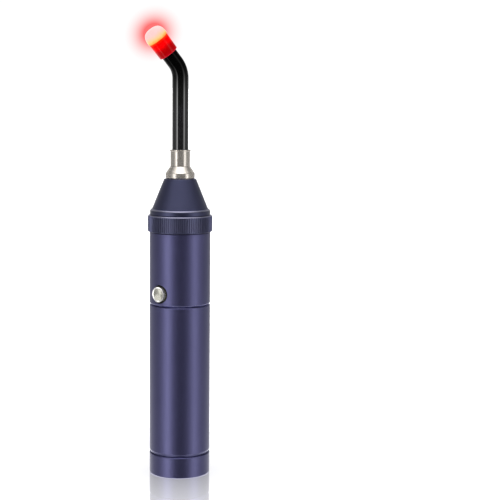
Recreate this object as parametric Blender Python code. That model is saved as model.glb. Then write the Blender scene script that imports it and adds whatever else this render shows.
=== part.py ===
"""Red light therapy wand: a pocket torch barrel with a push-on nose cone and a bent light guide.

Metres, +Z up. The origin is the centre of the tail cap's flat base, the barrel's axis is +Z and the
button faces -Y. Each object is one separate piece, and an empty named after each body holds its pieces.
The pieces inside are stacked from the base upwards, so each level follows from the pieces below it.
"""

import math

import bmesh
import bpy
from mathutils import Matrix, Vector

# Fits
SEAT_GAP = 0.0003
RUN_GAP = 0.0003
SEAL_GAP = 0.00015
OVERRUN = 0.002

# Cell, which everything round it follows
CELL_RADIUS = 0.0092
CELL_LENGTH = 0.0645
CELL_CHAMFER = 0.0005
CELL_NUB_RADIUS = 0.004
CELL_NUB_HEIGHT = 0.0013
CELL_WASHER_INSET = 0.0002
CELL_WASHER_THICKNESS = 0.0005

# Barrel
TUBE_CLEARANCE = 0.0005
HEAD_CLEARANCE = 0.0007
SPIGOT_WALL = 0.0021
TUBE_WALL = 0.0017
EDGE_CHAMFER = 0.0004
JOINT_CHAMFER = 0.00055
HEAD_SPIGOT_LENGTH = 0.0083
HEAD_WALL = 0.0022
JOINT_ABOVE_CELL = 0.0005
NECK_STEP = 0.001
NECK_HEIGHT = 0.0035
THREAD_PITCH = 0.001
THREAD_DEPTH = 0.0005
THREAD_RUNOUT = 0.0004

# Rubber rings of round section
RING_SECTION = 0.0004
SEAL_INSET = 0.0009
LENS_RING_SECTION = 0.0005

# Tail cap and its contact
CAP_HEIGHT = 0.0095
CAP_FLOOR = 0.005
CAP_SPIGOT_LENGTH = 0.0077
CAP_CLEARANCE = 0.0004
LANYARD_HOLE_RADIUS = 0.0011
LANYARD_HOLE_HEIGHT = 0.0023
LANYARD_HOLE_DEPTH = 0.004
LANYARD_BASE_HOLE_RADIUS = 0.0009
LANYARD_CORNER = 0.0004
CONTACT_BOARD_THICKNESS = 0.0012
RETAINER_WIDTH = 0.0019
RETAINER_HEIGHT = 0.002
TAIL_SPRING_RADIUS = 0.0045
TAIL_SPRING_WIRE = 0.0004
TAIL_SPRING_LENGTH = 0.0074

# Button and switch
BUTTON_RADIUS = 0.0035
BUTTON_PROUD = 0.0011
BUTTON_CHAMFER = 0.0004
BUTTON_DISH = 0.0002
BUTTON_FLANGE_WIDTH = 0.0002
BUTTON_FLANGE_THICKNESS = 0.00075
BUTTON_FLANGE_SETBACK = 0.00145
BUTTON_TRAVEL = 0.0008
BUTTON_SEAL_WALL = 0.0005
BUTTON_SEAL_GAP = 0.0002
BUTTON_SEAL_DEPTH = 0.0013
BUTTON_SEAL_RECESS = 0.0007
PLUNGER_RADIUS = 0.0017
PLUNGER_LENGTH = 0.0016
SWITCH_SIDE = 0.0062
SWITCH_BOARD_MARGIN = 0.001
SWITCH_BOARD_THICKNESS = 0.0012
HOLDER_WALL = 0.00075
HOLDER_HEADROOM = 0.0007
HOLDER_SLOT_MARGIN = 0.0006
DRIVER_SPRING_RADIUS = 0.0021
DRIVER_SPRING_WIRE = 0.00035

# Driver, heat sink and light source
BOARD_THICKNESS = 0.0012
INDUCTOR_RADIUS = 0.0024
INDUCTOR_HEIGHT = 0.0028
INDUCTOR_INSET = 0.0057
CAPACITOR_RADIUS = 0.0016
CAPACITOR_HEIGHT = 0.003
CAPACITOR_SIDE = 0.002
CAPACITOR_INSET = 0.0042
CHIP_WIDTH = 0.004
CHIP_LENGTH = 0.005
CHIP_HEIGHT = 0.0015
CHIP_INSET_ACROSS = 0.0067
CHIP_INSET_ALONG = 0.0057
SINK_HEIGHT = 0.0104
SINK_WALL = 0.0013
SINK_CAVITY_HEIGHT = 0.004
LED_BOARD_THICKNESS = 0.0014
LEAD_RADIUS = 0.0005
LEAD_INSET = 0.0016
LED_RADIUS = 0.0016
LED_BASE_HEIGHT = 0.0006
LED_DOME_HEIGHT = 0.001
LED_DOME_RADIUS = 0.0012
LED_SPACING = 0.0003
REFLECTOR_HEIGHT = 0.0096
REFLECTOR_INSET = 0.0001
REFLECTOR_WALL = 0.0007
FRONT_LENS_THICKNESS = 0.0015

# Bezel ring
BEZEL_PROUD = 0.00085
BEZEL_RIDGE_DEPTH = 0.0003
BEZEL_CHAMFER = 0.0005
BEZEL_FLANGE_THICKNESS = 0.0008
BEZEL_FLANGE_INSET = 0.0014
SOCKET_DEPTH = 0.0023
SOCKET_STEP = 0.0007

# Nose cone
LIP_STEP = 0.001
LIP_HEIGHT = 0.0028
LIP_ROUND = 0.0008
LIP_FLAT = 0.00015
CONE_TOP_WALL = 0.00135
CONE_HEIGHT = 0.0135
CONE_CHAMFER = 0.0002
GUIDE_BORE_DEPTH = 0.0106
POCKET_WALL = 0.0018
POCKET_STEP = 0.001
CONDENSER_RIM = 0.001
CONDENSER_LEDGE = 0.0015
CONDENSER_SAG = 0.0016
CONDENSER_RETAINER_HEIGHT = 0.0019
CONDENSER_RETAINER_GAP = 0.0002

# Light guide
ROD_RADIUS = 0.0037
SHEATH_WALL = 0.0007
FERRULE_WALL = 0.0017
FERRULE_FLANGE_WIDTH = 0.001
FERRULE_FLANGE_HEIGHT = 0.0023
FERRULE_ROUND = 0.0003
FERRULE_TAPER_HEIGHT = 0.0032
FERRULE_SLEEVE_WALL = 0.0005
FERRULE_SLEEVE_HEIGHT = 0.0075
FERRULE_LIP_WIDTH = 0.0003
FERRULE_LIP_HEIGHT = 0.0006
FERRULE_FLOOR = 0.0005
FERRULE_FLOOR_WIDTH = 0.0008
FERRULE_SEAL_RISE = 0.0035
ROD_RISE = 0.0326
BEND_RADIUS = 0.0115
BEND_ANGLE = math.radians(39)
GUIDE_HEADING = math.radians(28)
ROD_END = 0.0051

# Glowing tip
TIP_WALL = 0.00065
TIP_FLARE = 0.00015
TIP_COLLAR_LENGTH = 0.008
TIP_CHAMFER = 0.0002
TIP_ROOM = 0.0008
TIP_DOME_LENGTH = 0.0053
TIP_DOME_OVERHANG = 0.00025
TIP_DOME_SHARE = 2 / 3
TIP_SPIGOT_LENGTH = 0.0012

# How finely round pieces are faceted
OUTER_SIDES = 40
INNER_SIDES = 28
SMALL_SIDES = 12
RING_SIDES = 20
SECTION_SIDES = 6
RIDGES = 88
RIDGE_EDGES_PER_SIDE = 4
ROWS_PER_PITCH = 3
DOME_STEPS = 5
REFLECTOR_STEPS = 5
BEND_STEPS = 8
CURL_POINTS = 9
TAIL_SPRING_TURNS = 5
DRIVER_SPRING_TURNS = 5
OUTER_LEDS = 4
SMOOTH_ANGLE = math.radians(35)

# Radii, from the cell outwards
BATTERY_BORE_RADIUS = CELL_RADIUS + TUBE_CLEARANCE
HEAD_SPIGOT_BORE_RADIUS = CELL_RADIUS + HEAD_CLEARANCE
SPIGOT_RADIUS = HEAD_SPIGOT_BORE_RADIUS + SPIGOT_WALL
COUNTERBORE_RADIUS = SPIGOT_RADIUS + RUN_GAP
BARREL_RADIUS = COUNTERBORE_RADIUS + TUBE_WALL
CAP_CAVITY_RADIUS = CELL_RADIUS + CAP_CLEARANCE
CAP_INSERT_RADIUS = CAP_CAVITY_RADIUS - RUN_GAP
HEAD_BORE_RADIUS = BARREL_RADIUS - HEAD_WALL
INSERT_RADIUS = HEAD_BORE_RADIUS - RUN_GAP
NECK_RADIUS = BARREL_RADIUS - NECK_STEP
NECK_BORE_RADIUS = NECK_RADIUS + RUN_GAP
BEZEL_RADIUS = BARREL_RADIUS + BEZEL_PROUD
BEZEL_FLANGE_BORE_RADIUS = HEAD_BORE_RADIUS - BEZEL_FLANGE_INSET
SOCKET_RADIUS = NECK_BORE_RADIUS - SOCKET_STEP
CONE_SPIGOT_RADIUS = SOCKET_RADIUS - RUN_GAP
POCKET_RADIUS = SOCKET_RADIUS - POCKET_WALL
LIP_RADIUS = BEZEL_RADIUS - LIP_STEP
CONE_BASE_RADIUS = LIP_RADIUS - LIP_ROUND - LIP_FLAT
BUTTON_SEAL_INNER = BUTTON_RADIUS + BUTTON_SEAL_GAP
BUTTON_SEAL_OUTER = BUTTON_SEAL_INNER + BUTTON_SEAL_WALL
BUTTON_HOLE_RADIUS = BUTTON_SEAL_OUTER + BUTTON_SEAL_GAP
BUTTON_FLANGE_RADIUS = BUTTON_HOLE_RADIUS + BUTTON_FLANGE_WIDTH
SINK_CAVITY_RADIUS = INSERT_RADIUS - SINK_WALL
LEAD_OFFSET = SINK_CAVITY_RADIUS - LEAD_INSET
LEAD_HOLE_RADIUS = LEAD_RADIUS + RUN_GAP
LED_BOARD_RADIUS = LEAD_OFFSET - LEAD_HOLE_RADIUS
LED_CIRCLE_RADIUS = 2 * LED_RADIUS + LED_SPACING
REFLECTOR_THROAT_RADIUS = LED_CIRCLE_RADIUS + LED_RADIUS + RUN_GAP
REFLECTOR_MOUTH_RADIUS = INSERT_RADIUS - REFLECTOR_WALL - REFLECTOR_INSET

# Radii, from the rod outwards
ROD_BORE_RADIUS = ROD_RADIUS + RUN_GAP
FERRULE_SLEEVE_RADIUS = ROD_BORE_RADIUS + FERRULE_SLEEVE_WALL
FERRULE_SPIGOT_RADIUS = ROD_BORE_RADIUS + FERRULE_WALL
FERRULE_FLANGE_RADIUS = FERRULE_SPIGOT_RADIUS + FERRULE_FLANGE_WIDTH
GUIDE_BORE_RADIUS = FERRULE_SPIGOT_RADIUS + RUN_GAP
CONE_TOP_RADIUS = GUIDE_BORE_RADIUS + CONE_TOP_WALL
TIP_RADIUS = ROD_BORE_RADIUS + TIP_WALL
TIP_END_RADIUS = TIP_RADIUS + TIP_FLARE
TIP_DOME_RADIUS = TIP_END_RADIUS + TIP_DOME_OVERHANG
TIP_GRIP_DEPTH = TIP_COLLAR_LENGTH + SEAT_GAP - TIP_SPIGOT_LENGTH - TIP_ROOM

# Levels, from the base upwards
CONTACT_BOARD_BOTTOM = CAP_FLOOR + SEAT_GAP
CONTACT_BOARD_TOP = CONTACT_BOARD_BOTTOM + CONTACT_BOARD_THICKNESS
TAIL_SPRING_BOTTOM = CONTACT_BOARD_TOP + SEAT_GAP
TAIL_SPRING_TOP = TAIL_SPRING_BOTTOM + TAIL_SPRING_LENGTH
CELL_BOTTOM = TAIL_SPRING_TOP + SEAT_GAP
CELL_TOP = CELL_BOTTOM + CELL_LENGTH
TUBE_BOTTOM = CAP_HEIGHT + SEAT_GAP
CAP_SPIGOT_TOP = CAP_HEIGHT + CAP_SPIGOT_LENGTH
TUBE_TOP = CELL_TOP + JOINT_ABOVE_CELL
HEAD_BOTTOM = TUBE_TOP + SEAT_GAP
HEAD_SPIGOT_BOTTOM = HEAD_BOTTOM - HEAD_SPIGOT_LENGTH
NUB_BOTTOM = CELL_TOP + SEAT_GAP
NUB_TOP = NUB_BOTTOM + CELL_NUB_HEIGHT
HEAD_STEP = NUB_TOP
HOLDER_BOTTOM = HEAD_STEP + SEAT_GAP
BUTTON_LEVEL = HOLDER_BOTTOM + BUTTON_FLANGE_RADIUS
HOLDER_TOP = BUTTON_LEVEL + BUTTON_FLANGE_RADIUS + HOLDER_HEADROOM
DRIVER_BOTTOM = HOLDER_TOP + SEAT_GAP
DRIVER_TOP = DRIVER_BOTTOM + BOARD_THICKNESS
SINK_BOTTOM = DRIVER_TOP + SEAT_GAP
SINK_TOP = SINK_BOTTOM + SINK_HEIGHT
LED_BOARD_BOTTOM = SINK_TOP + SEAT_GAP
LED_BOARD_TOP = LED_BOARD_BOTTOM + LED_BOARD_THICKNESS
REFLECTOR_BOTTOM = LED_BOARD_TOP + SEAT_GAP
REFLECTOR_TOP = REFLECTOR_BOTTOM + REFLECTOR_HEIGHT
FRONT_LENS_BOTTOM = REFLECTOR_TOP + SEAT_GAP
FRONT_LENS_TOP = FRONT_LENS_BOTTOM + FRONT_LENS_THICKNESS
NECK_TOP = FRONT_LENS_TOP + SEAT_GAP
HEAD_TOP = NECK_TOP - NECK_HEIGHT
LENS_RING_LEVEL = NECK_TOP + LENS_RING_SECTION
BEZEL_BOTTOM = HEAD_TOP + SEAT_GAP
BEZEL_FLANGE_BOTTOM = LENS_RING_LEVEL + LENS_RING_SECTION + SEAT_GAP
BEZEL_FLANGE_TOP = BEZEL_FLANGE_BOTTOM + BEZEL_FLANGE_THICKNESS
BEZEL_TOP = BEZEL_FLANGE_TOP + SOCKET_DEPTH
CONE_BOTTOM = BEZEL_FLANGE_TOP + SEAT_GAP
LIP_BOTTOM = BEZEL_TOP + SEAT_GAP
LIP_TOP = LIP_BOTTOM + LIP_HEIGHT
CONE_TOP = LIP_TOP + CONE_HEIGHT
GUIDE_BORE_BOTTOM = CONE_TOP - GUIDE_BORE_DEPTH
CONDENSER_RETAINER_BOTTOM = CONE_BOTTOM + SEAT_GAP
CONDENSER_RETAINER_TOP = CONDENSER_RETAINER_BOTTOM + CONDENSER_RETAINER_HEIGHT
CONDENSER_RIM_BOTTOM = CONDENSER_RETAINER_TOP + SEAT_GAP
CONDENSER_TOP = CONDENSER_RIM_BOTTOM + CONDENSER_RIM
POCKET_TOP = CONDENSER_TOP + SEAT_GAP
FERRULE_SEAT = CONE_TOP + SEAT_GAP
FERRULE_BOTTOM = GUIDE_BORE_BOTTOM + SEAT_GAP
FERRULE_FLANGE_TOP = FERRULE_SEAT + FERRULE_FLANGE_HEIGHT
FERRULE_SLEEVE_BOTTOM = FERRULE_FLANGE_TOP + FERRULE_TAPER_HEIGHT
FERRULE_TOP = FERRULE_SLEEVE_BOTTOM + FERRULE_SLEEVE_HEIGHT
ROD_BOTTOM = FERRULE_BOTTOM + FERRULE_FLOOR + SEAT_GAP
BEND_LEVEL = FERRULE_TOP + ROD_RISE

# Colour, roughness and metallic value of each finish
FINISHES = {
    "anodised": ((0.075, 0.072, 0.19), 0.34, 0.85),
    "nickel": ((0.66, 0.62, 0.54), 0.26, 1.0),
    "steel": ((0.62, 0.61, 0.58), 0.3, 1.0),
    "brass": ((0.66, 0.47, 0.2), 0.35, 1.0),
    "gold_plate": ((0.83, 0.6, 0.24), 0.3, 1.0),
    "rubber": ((0.015, 0.015, 0.016), 0.75, 0.0),
    "black_sheath": ((0.012, 0.012, 0.013), 0.12, 0.0),
    "nylon": ((0.035, 0.035, 0.038), 0.55, 0.0),
    "circuit_board": ((0.02, 0.11, 0.05), 0.5, 0.0),
    "white_board": ((0.75, 0.75, 0.73), 0.45, 0.0),
    "cell_wrap": ((0.02, 0.09, 0.27), 0.4, 0.0),
    "mirror": ((0.9, 0.9, 0.91), 0.06, 1.0),
    "glass": ((0.9, 0.95, 0.95), 0.03, 0.0),
    "emitter": ((0.85, 0.12, 0.08), 0.25, 0.0),
    "red_lead": ((0.5, 0.02, 0.02), 0.45, 0.0),
    "fibre": ((0.85, 0.8, 0.78), 0.08, 0.0),
    "red_acrylic": ((0.75, 0.004, 0.008), 0.16, 0.0),
    "glowing_dome": ((1.0, 0.6, 0.62), 0.3, 0.0),
}


def clear_scene():
    """Remove what the scene holds at the start."""
    for item in list(bpy.data.objects):
        bpy.data.objects.remove(item)


def make_body(name, place=None):
    """An empty that stands for one body, at its joint."""
    body = bpy.data.objects.new(name + "_body", None)
    body.matrix_world = place or Matrix.Identity(4)
    body.empty_display_size = BARREL_RADIUS
    bpy.context.scene.collection.objects.link(body)
    return body


def make_material(name, finish):
    """The piece's own material in one of the finishes."""
    colour, roughness, metallic = FINISHES[finish]
    material = bpy.data.materials.new(name)
    material.use_nodes = True
    shader = material.node_tree.nodes["Principled BSDF"]
    shader.inputs["Base Color"].default_value = (*colour, 1.0)
    shader.inputs["Roughness"].default_value = roughness
    shader.inputs["Metallic"].default_value = metallic
    return material


def add_piece(name, bm, finish, body):
    """Turn a bmesh into the named object, in its body's frame."""
    bmesh.ops.recalc_face_normals(bm, faces=bm.faces)
    mesh = bpy.data.meshes.new(name)
    bm.to_mesh(mesh)
    bm.free()
    mesh.shade_smooth()
    mesh.set_sharp_from_angle(angle=SMOOTH_ANGLE)
    mesh.materials.append(make_material(name, finish))
    piece = bpy.data.objects.new(name, mesh)
    bpy.context.scene.collection.objects.link(piece)
    piece.parent = body
    return piece


def skin(bm, rings):
    """Faces from each ring of points to the next, whose counts are alike or one a multiple of the other."""
    for lower, upper in zip(rings, rings[1:]):
        coarse, fine = sorted((lower, upper), key=len)
        share = len(fine) // len(coarse)
        for i in range(len(fine)):
            j = (i + 1) % len(fine)
            near = coarse[(i + share // 2) // share % len(coarse)]
            far = coarse[(j + share // 2) // share % len(coarse)]
            bm.faces.new(list(dict.fromkeys([fine[i], fine[j], far, near])))


def circle(bm, radius, height, sides, thread_depth=0.0):
    """A ring of points round Z. With a thread depth its radius follows a right-hand screw."""
    if radius == 0:
        return [bm.verts.new((0, 0, height))]
    ring = []
    for i in range(sides):
        turn = i / sides
        phase = (height / THREAD_PITCH - turn) % 1
        depth = thread_depth * abs(2 * phase - 1)
        angle = math.tau * turn
        reach = radius - depth
        ring.append(bm.verts.new((reach * math.cos(angle), reach * math.sin(angle), height)))
    return ring


def turned(name, profile, finish, body, sides=INNER_SIDES):
    """A piece turned round Z from (radius, height) points, on the axis at both ends or a closed loop."""
    bm = bmesh.new()
    rings = [circle(bm, point[0], point[1], sides, *point[2:]) for point in profile]
    if profile[0][0] > 0:
        rings.append(rings[0])
    skin(bm, rings)
    return add_piece(name, bm, finish, body)


def thread(major, bottom, top):
    """Profile points of a male thread between two heights, with a run-out at each end."""
    minor = major - THREAD_DEPTH
    start = bottom + THREAD_RUNOUT
    end = top - THREAD_RUNOUT
    rows = max(2, round((end - start) / THREAD_PITCH * ROWS_PER_PITCH))
    points = [(major, bottom), (minor, start)]
    points += [(major, start + (end - start) * row / rows, THREAD_DEPTH) for row in range(1, rows)]
    return points + [(minor, end), (minor, top)]


def groove(spigot, bore, bottom):
    """Profile points of a ring groove in a spigot that runs in a bore."""
    floor = bore - 2 * RING_SECTION - 2 * SEAL_GAP
    top = bottom + 2 * RING_SECTION + 2 * SEAL_GAP
    return [(spigot, bottom), (floor, bottom), (floor, top), (spigot, top)]


def rubber_ring(name, radius, level, section, body):
    """A rubber ring of round section."""
    profile = []
    for i in range(SECTION_SIDES):
        angle = -math.tau * i / SECTION_SIDES
        profile.append((radius + section * math.cos(angle), level + section * math.sin(angle)))
    return turned(name, profile, "rubber", body, RING_SIDES)


def groove_ring(name, bore, bottom, body):
    """The rubber ring that lies in the groove above a height."""
    radius = bore - SEAL_GAP - RING_SECTION
    return rubber_ring(name, radius, bottom + SEAL_GAP + RING_SECTION, RING_SECTION, body)


def washer(name, inner, outer, bottom, thickness, finish, body, sides=INNER_SIDES):
    """A flat ring."""
    top = bottom + thickness
    profile = [(inner, bottom), (outer, bottom), (outer, top), (inner, top)]
    return turned(name, profile, finish, body, sides)


def disc(name, radius, bottom, thickness, finish, body, sides=INNER_SIDES):
    """A flat disc."""
    top = bottom + thickness
    return turned(name, [(0, bottom), (radius, bottom), (radius, top), (0, top)], finish, body, sides)


def block(name, low, high, finish, body):
    """A rectangular piece between two corners."""
    bm = bmesh.new()
    bmesh.ops.create_cube(bm, size=1)
    for vert in bm.verts:
        vert.co = [a + (b - a) * (c + 1 / 2) for a, b, c in zip(low, high, vert.co)]
    return add_piece(name, bm, finish, body)


def cut(piece, cutter):
    """Take a hidden cutter's shape out of a piece."""
    cutter.hide_render = True
    cutter.display_type = "WIRE"
    cutting = piece.modifiers.new("cut_" + cutter.name, "BOOLEAN")
    cutting.operation = "DIFFERENCE"
    cutting.object = cutter


def least_self_gap(points, wire):
    """The least gap between turns of a wire through these points, centre to centre less its thickness."""
    apart = []
    for i, start in enumerate(points):
        apart += [(end - start).length for end in points[i + CURL_POINTS // 2 + 1 :]]
    return min(apart) - 2 * wire


def coil(name, radius, wire, bottom, top, turns, body):
    """A compression spring: one unbroken wire on a helix."""
    low = bottom + wire
    high = top - wire
    count = turns * CURL_POINTS
    points = []
    for i in range(count + 1):
        angle = math.tau * i / CURL_POINTS
        height = low + (high - low) * i / count
        points.append(Vector((radius * math.cos(angle), radius * math.sin(angle), height)))
    curve = bpy.data.curves.new(name, "CURVE")
    curve.dimensions = "3D"
    curve.bevel_depth = wire
    curve.bevel_resolution = 1
    curve.use_fill_caps = True
    spline = curve.splines.new("POLY")
    spline.points.add(count)
    for place, point in zip(spline.points, points):
        place.co = (*point, 1)
    curve.materials.append(make_material(name, "gold_plate"))
    piece = bpy.data.objects.new(name, curve)
    bpy.context.scene.collection.objects.link(piece)
    piece.parent = body
    print(f"{name}: least gap to itself {least_self_gap(points, wire) * 1000:.2f} mm")
    return piece


def guide_stations(end_length):
    """Centre and direction at each station along the light guide, from its foot to past the bend."""
    heading = Vector((-math.sin(GUIDE_HEADING), -math.cos(GUIDE_HEADING), 0))
    up = Vector((0, 0, 1))
    stations = [(up * ROD_BOTTOM, up)]
    for step in range(BEND_STEPS + 1):
        angle = BEND_ANGLE * step / BEND_STEPS
        centre = up * (BEND_LEVEL + BEND_RADIUS * math.sin(angle))
        centre += heading * BEND_RADIUS * (1 - math.cos(angle))
        stations.append((centre, up * math.cos(angle) + heading * math.sin(angle)))
    centre, direction = stations[-1]
    stations.append((centre + direction * end_length, direction))
    return stations


def guide_ring(bm, station, radius, sides):
    """A ring of points square to the light guide at one station."""
    centre, direction = station
    side = Vector((math.cos(GUIDE_HEADING), -math.sin(GUIDE_HEADING), 0))
    across = side.cross(direction)
    ring = []
    for i in range(sides):
        angle = math.tau * i / sides
        ring.append(bm.verts.new(centre + (side * math.cos(angle) + across * math.sin(angle)) * radius))
    return ring


def build_tail(tail):
    """Tail cap with its contact board, retaining ring, spring and rubber ring."""
    seal_bottom = TUBE_BOTTOM + SEAL_INSET
    seal_groove = groove(SPIGOT_RADIUS, COUNTERBORE_RADIUS, seal_bottom)
    cap = turned(
        "tail_cap",
        [
            (0, 0),
            (BARREL_RADIUS - EDGE_CHAMFER, 0),
            (BARREL_RADIUS, EDGE_CHAMFER),
            (BARREL_RADIUS, CAP_HEIGHT - JOINT_CHAMFER),
            (BARREL_RADIUS - JOINT_CHAMFER, CAP_HEIGHT),
            (SPIGOT_RADIUS, CAP_HEIGHT),
            *seal_groove,
            *thread(SPIGOT_RADIUS, seal_groove[-1][1] + THREAD_RUNOUT, CAP_SPIGOT_TOP),
            (CAP_CAVITY_RADIUS, CAP_SPIGOT_TOP),
            (CAP_CAVITY_RADIUS, CAP_FLOOR),
            (0, CAP_FLOOR),
        ],
        "anodised",
        tail,
        OUTER_SIDES,
    )
    hole_end = BARREL_RADIUS - LANYARD_HOLE_DEPTH
    hole_length = LANYARD_HOLE_DEPTH + OVERRUN
    side_hole = disc("lanyard_side_cut", LANYARD_HOLE_RADIUS, 0, hole_length, "rubber", tail, SMALL_SIDES)
    side_hole.location = (0, hole_end, LANYARD_HOLE_HEIGHT)
    side_hole.rotation_euler = (-math.pi / 2, 0, math.pi / SMALL_SIDES)
    side_hole.rotation_mode = "ZXY"
    base_height = LANYARD_HOLE_HEIGHT + OVERRUN
    base_radius = LANYARD_BASE_HOLE_RADIUS
    base_hole = disc("lanyard_base_cut", base_radius, 0, base_height, "rubber", tail, SMALL_SIDES)
    base_hole.location = (0, hole_end + base_radius + LANYARD_CORNER, -OVERRUN)
    base_hole.rotation_euler.z = math.pi / SMALL_SIDES
    cut(cap, side_hole)
    cut(cap, base_hole)
    disc(
        "tail_contact_board",
        CAP_INSERT_RADIUS,
        CONTACT_BOARD_BOTTOM,
        CONTACT_BOARD_THICKNESS,
        "circuit_board",
        tail,
    )
    washer(
        "tail_retaining_ring",
        CAP_INSERT_RADIUS - RETAINER_WIDTH,
        CAP_INSERT_RADIUS,
        CONTACT_BOARD_TOP + SEAT_GAP,
        RETAINER_HEIGHT,
        "brass",
        tail,
    )
    groove_ring("tail_o_ring", COUNTERBORE_RADIUS, seal_bottom, tail)
    coil(
        "tail_spring",
        TAIL_SPRING_RADIUS,
        TAIL_SPRING_WIRE,
        TAIL_SPRING_BOTTOM,
        TAIL_SPRING_TOP,
        TAIL_SPRING_TURNS,
        tail,
    )


def build_cell(cell):
    """Rechargeable cell with its positive nub and the washer round the nub."""
    turned(
        "battery_cell",
        [
            (0, CELL_BOTTOM),
            (CELL_RADIUS - CELL_CHAMFER, CELL_BOTTOM),
            (CELL_RADIUS, CELL_BOTTOM + CELL_CHAMFER),
            (CELL_RADIUS, CELL_TOP - CELL_CHAMFER),
            (CELL_RADIUS - CELL_CHAMFER, CELL_TOP),
            (0, CELL_TOP),
        ],
        "cell_wrap",
        cell,
    )
    turned(
        "battery_positive_cap",
        [
            (0, NUB_BOTTOM),
            (CELL_NUB_RADIUS, NUB_BOTTOM),
            (CELL_NUB_RADIUS, NUB_TOP - CELL_CHAMFER),
            (CELL_NUB_RADIUS - CELL_CHAMFER, NUB_TOP),
            (0, NUB_TOP),
        ],
        "steel",
        cell,
        RING_SIDES,
    )
    washer(
        "battery_insulator",
        CELL_NUB_RADIUS + SEAT_GAP,
        CELL_RADIUS - CELL_WASHER_INSET,
        NUB_BOTTOM,
        CELL_WASHER_THICKNESS,
        "white_board",
        cell,
    )


def build_barrel(barrel):
    """Battery tube and head tube, screwed and glued together with a rubber ring between them."""
    bore_bottom = CAP_SPIGOT_TOP + SEAT_GAP
    bore_top = HEAD_SPIGOT_BOTTOM - SEAT_GAP
    turned(
        "battery_tube",
        [
            (COUNTERBORE_RADIUS, TUBE_BOTTOM),
            (BARREL_RADIUS - JOINT_CHAMFER, TUBE_BOTTOM),
            (BARREL_RADIUS, TUBE_BOTTOM + JOINT_CHAMFER),
            (BARREL_RADIUS, TUBE_TOP - JOINT_CHAMFER),
            (BARREL_RADIUS - JOINT_CHAMFER, TUBE_TOP),
            (COUNTERBORE_RADIUS, TUBE_TOP),
            (COUNTERBORE_RADIUS, bore_top),
            (BATTERY_BORE_RADIUS, bore_top),
            (BATTERY_BORE_RADIUS, bore_bottom),
            (COUNTERBORE_RADIUS, bore_bottom),
        ],
        "anodised",
        barrel,
        OUTER_SIDES,
    )
    seal_bottom = TUBE_TOP - SEAL_INSET - 2 * RING_SECTION - 2 * SEAL_GAP
    head = turned(
        "head_tube",
        [
            (HEAD_SPIGOT_BORE_RADIUS, HEAD_SPIGOT_BOTTOM),
            (SPIGOT_RADIUS, HEAD_SPIGOT_BOTTOM),
            *groove(SPIGOT_RADIUS, COUNTERBORE_RADIUS, seal_bottom),
            (SPIGOT_RADIUS, HEAD_BOTTOM),
            (BARREL_RADIUS - JOINT_CHAMFER, HEAD_BOTTOM),
            (BARREL_RADIUS, HEAD_BOTTOM + JOINT_CHAMFER),
            (BARREL_RADIUS, HEAD_TOP - EDGE_CHAMFER),
            (BARREL_RADIUS - EDGE_CHAMFER, HEAD_TOP),
            *thread(NECK_RADIUS, HEAD_TOP, NECK_TOP),
            (HEAD_BORE_RADIUS, NECK_TOP),
            (HEAD_BORE_RADIUS, HEAD_STEP),
            (HEAD_SPIGOT_BORE_RADIUS, HEAD_STEP),
        ],
        "anodised",
        barrel,
        OUTER_SIDES,
    )
    wall = BARREL_RADIUS - HEAD_SPIGOT_BORE_RADIUS
    button_cut = disc("button_cut", BUTTON_HOLE_RADIUS, 0, wall + OVERRUN, "rubber", barrel)
    button_cut.matrix_local = button_place() @ Matrix.Translation((0, 0, HEAD_SPIGOT_BORE_RADIUS))
    cut(head, button_cut)
    groove_ring("mid_o_ring", COUNTERBORE_RADIUS, seal_bottom, barrel)


def button_place():
    """The button's frame: on the barrel's axis at the button's level, its Z pointing out along -Y."""
    return Matrix.Translation((0, 0, BUTTON_LEVEL)) @ Matrix.Rotation(math.pi / 2, 4, "X")


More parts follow.
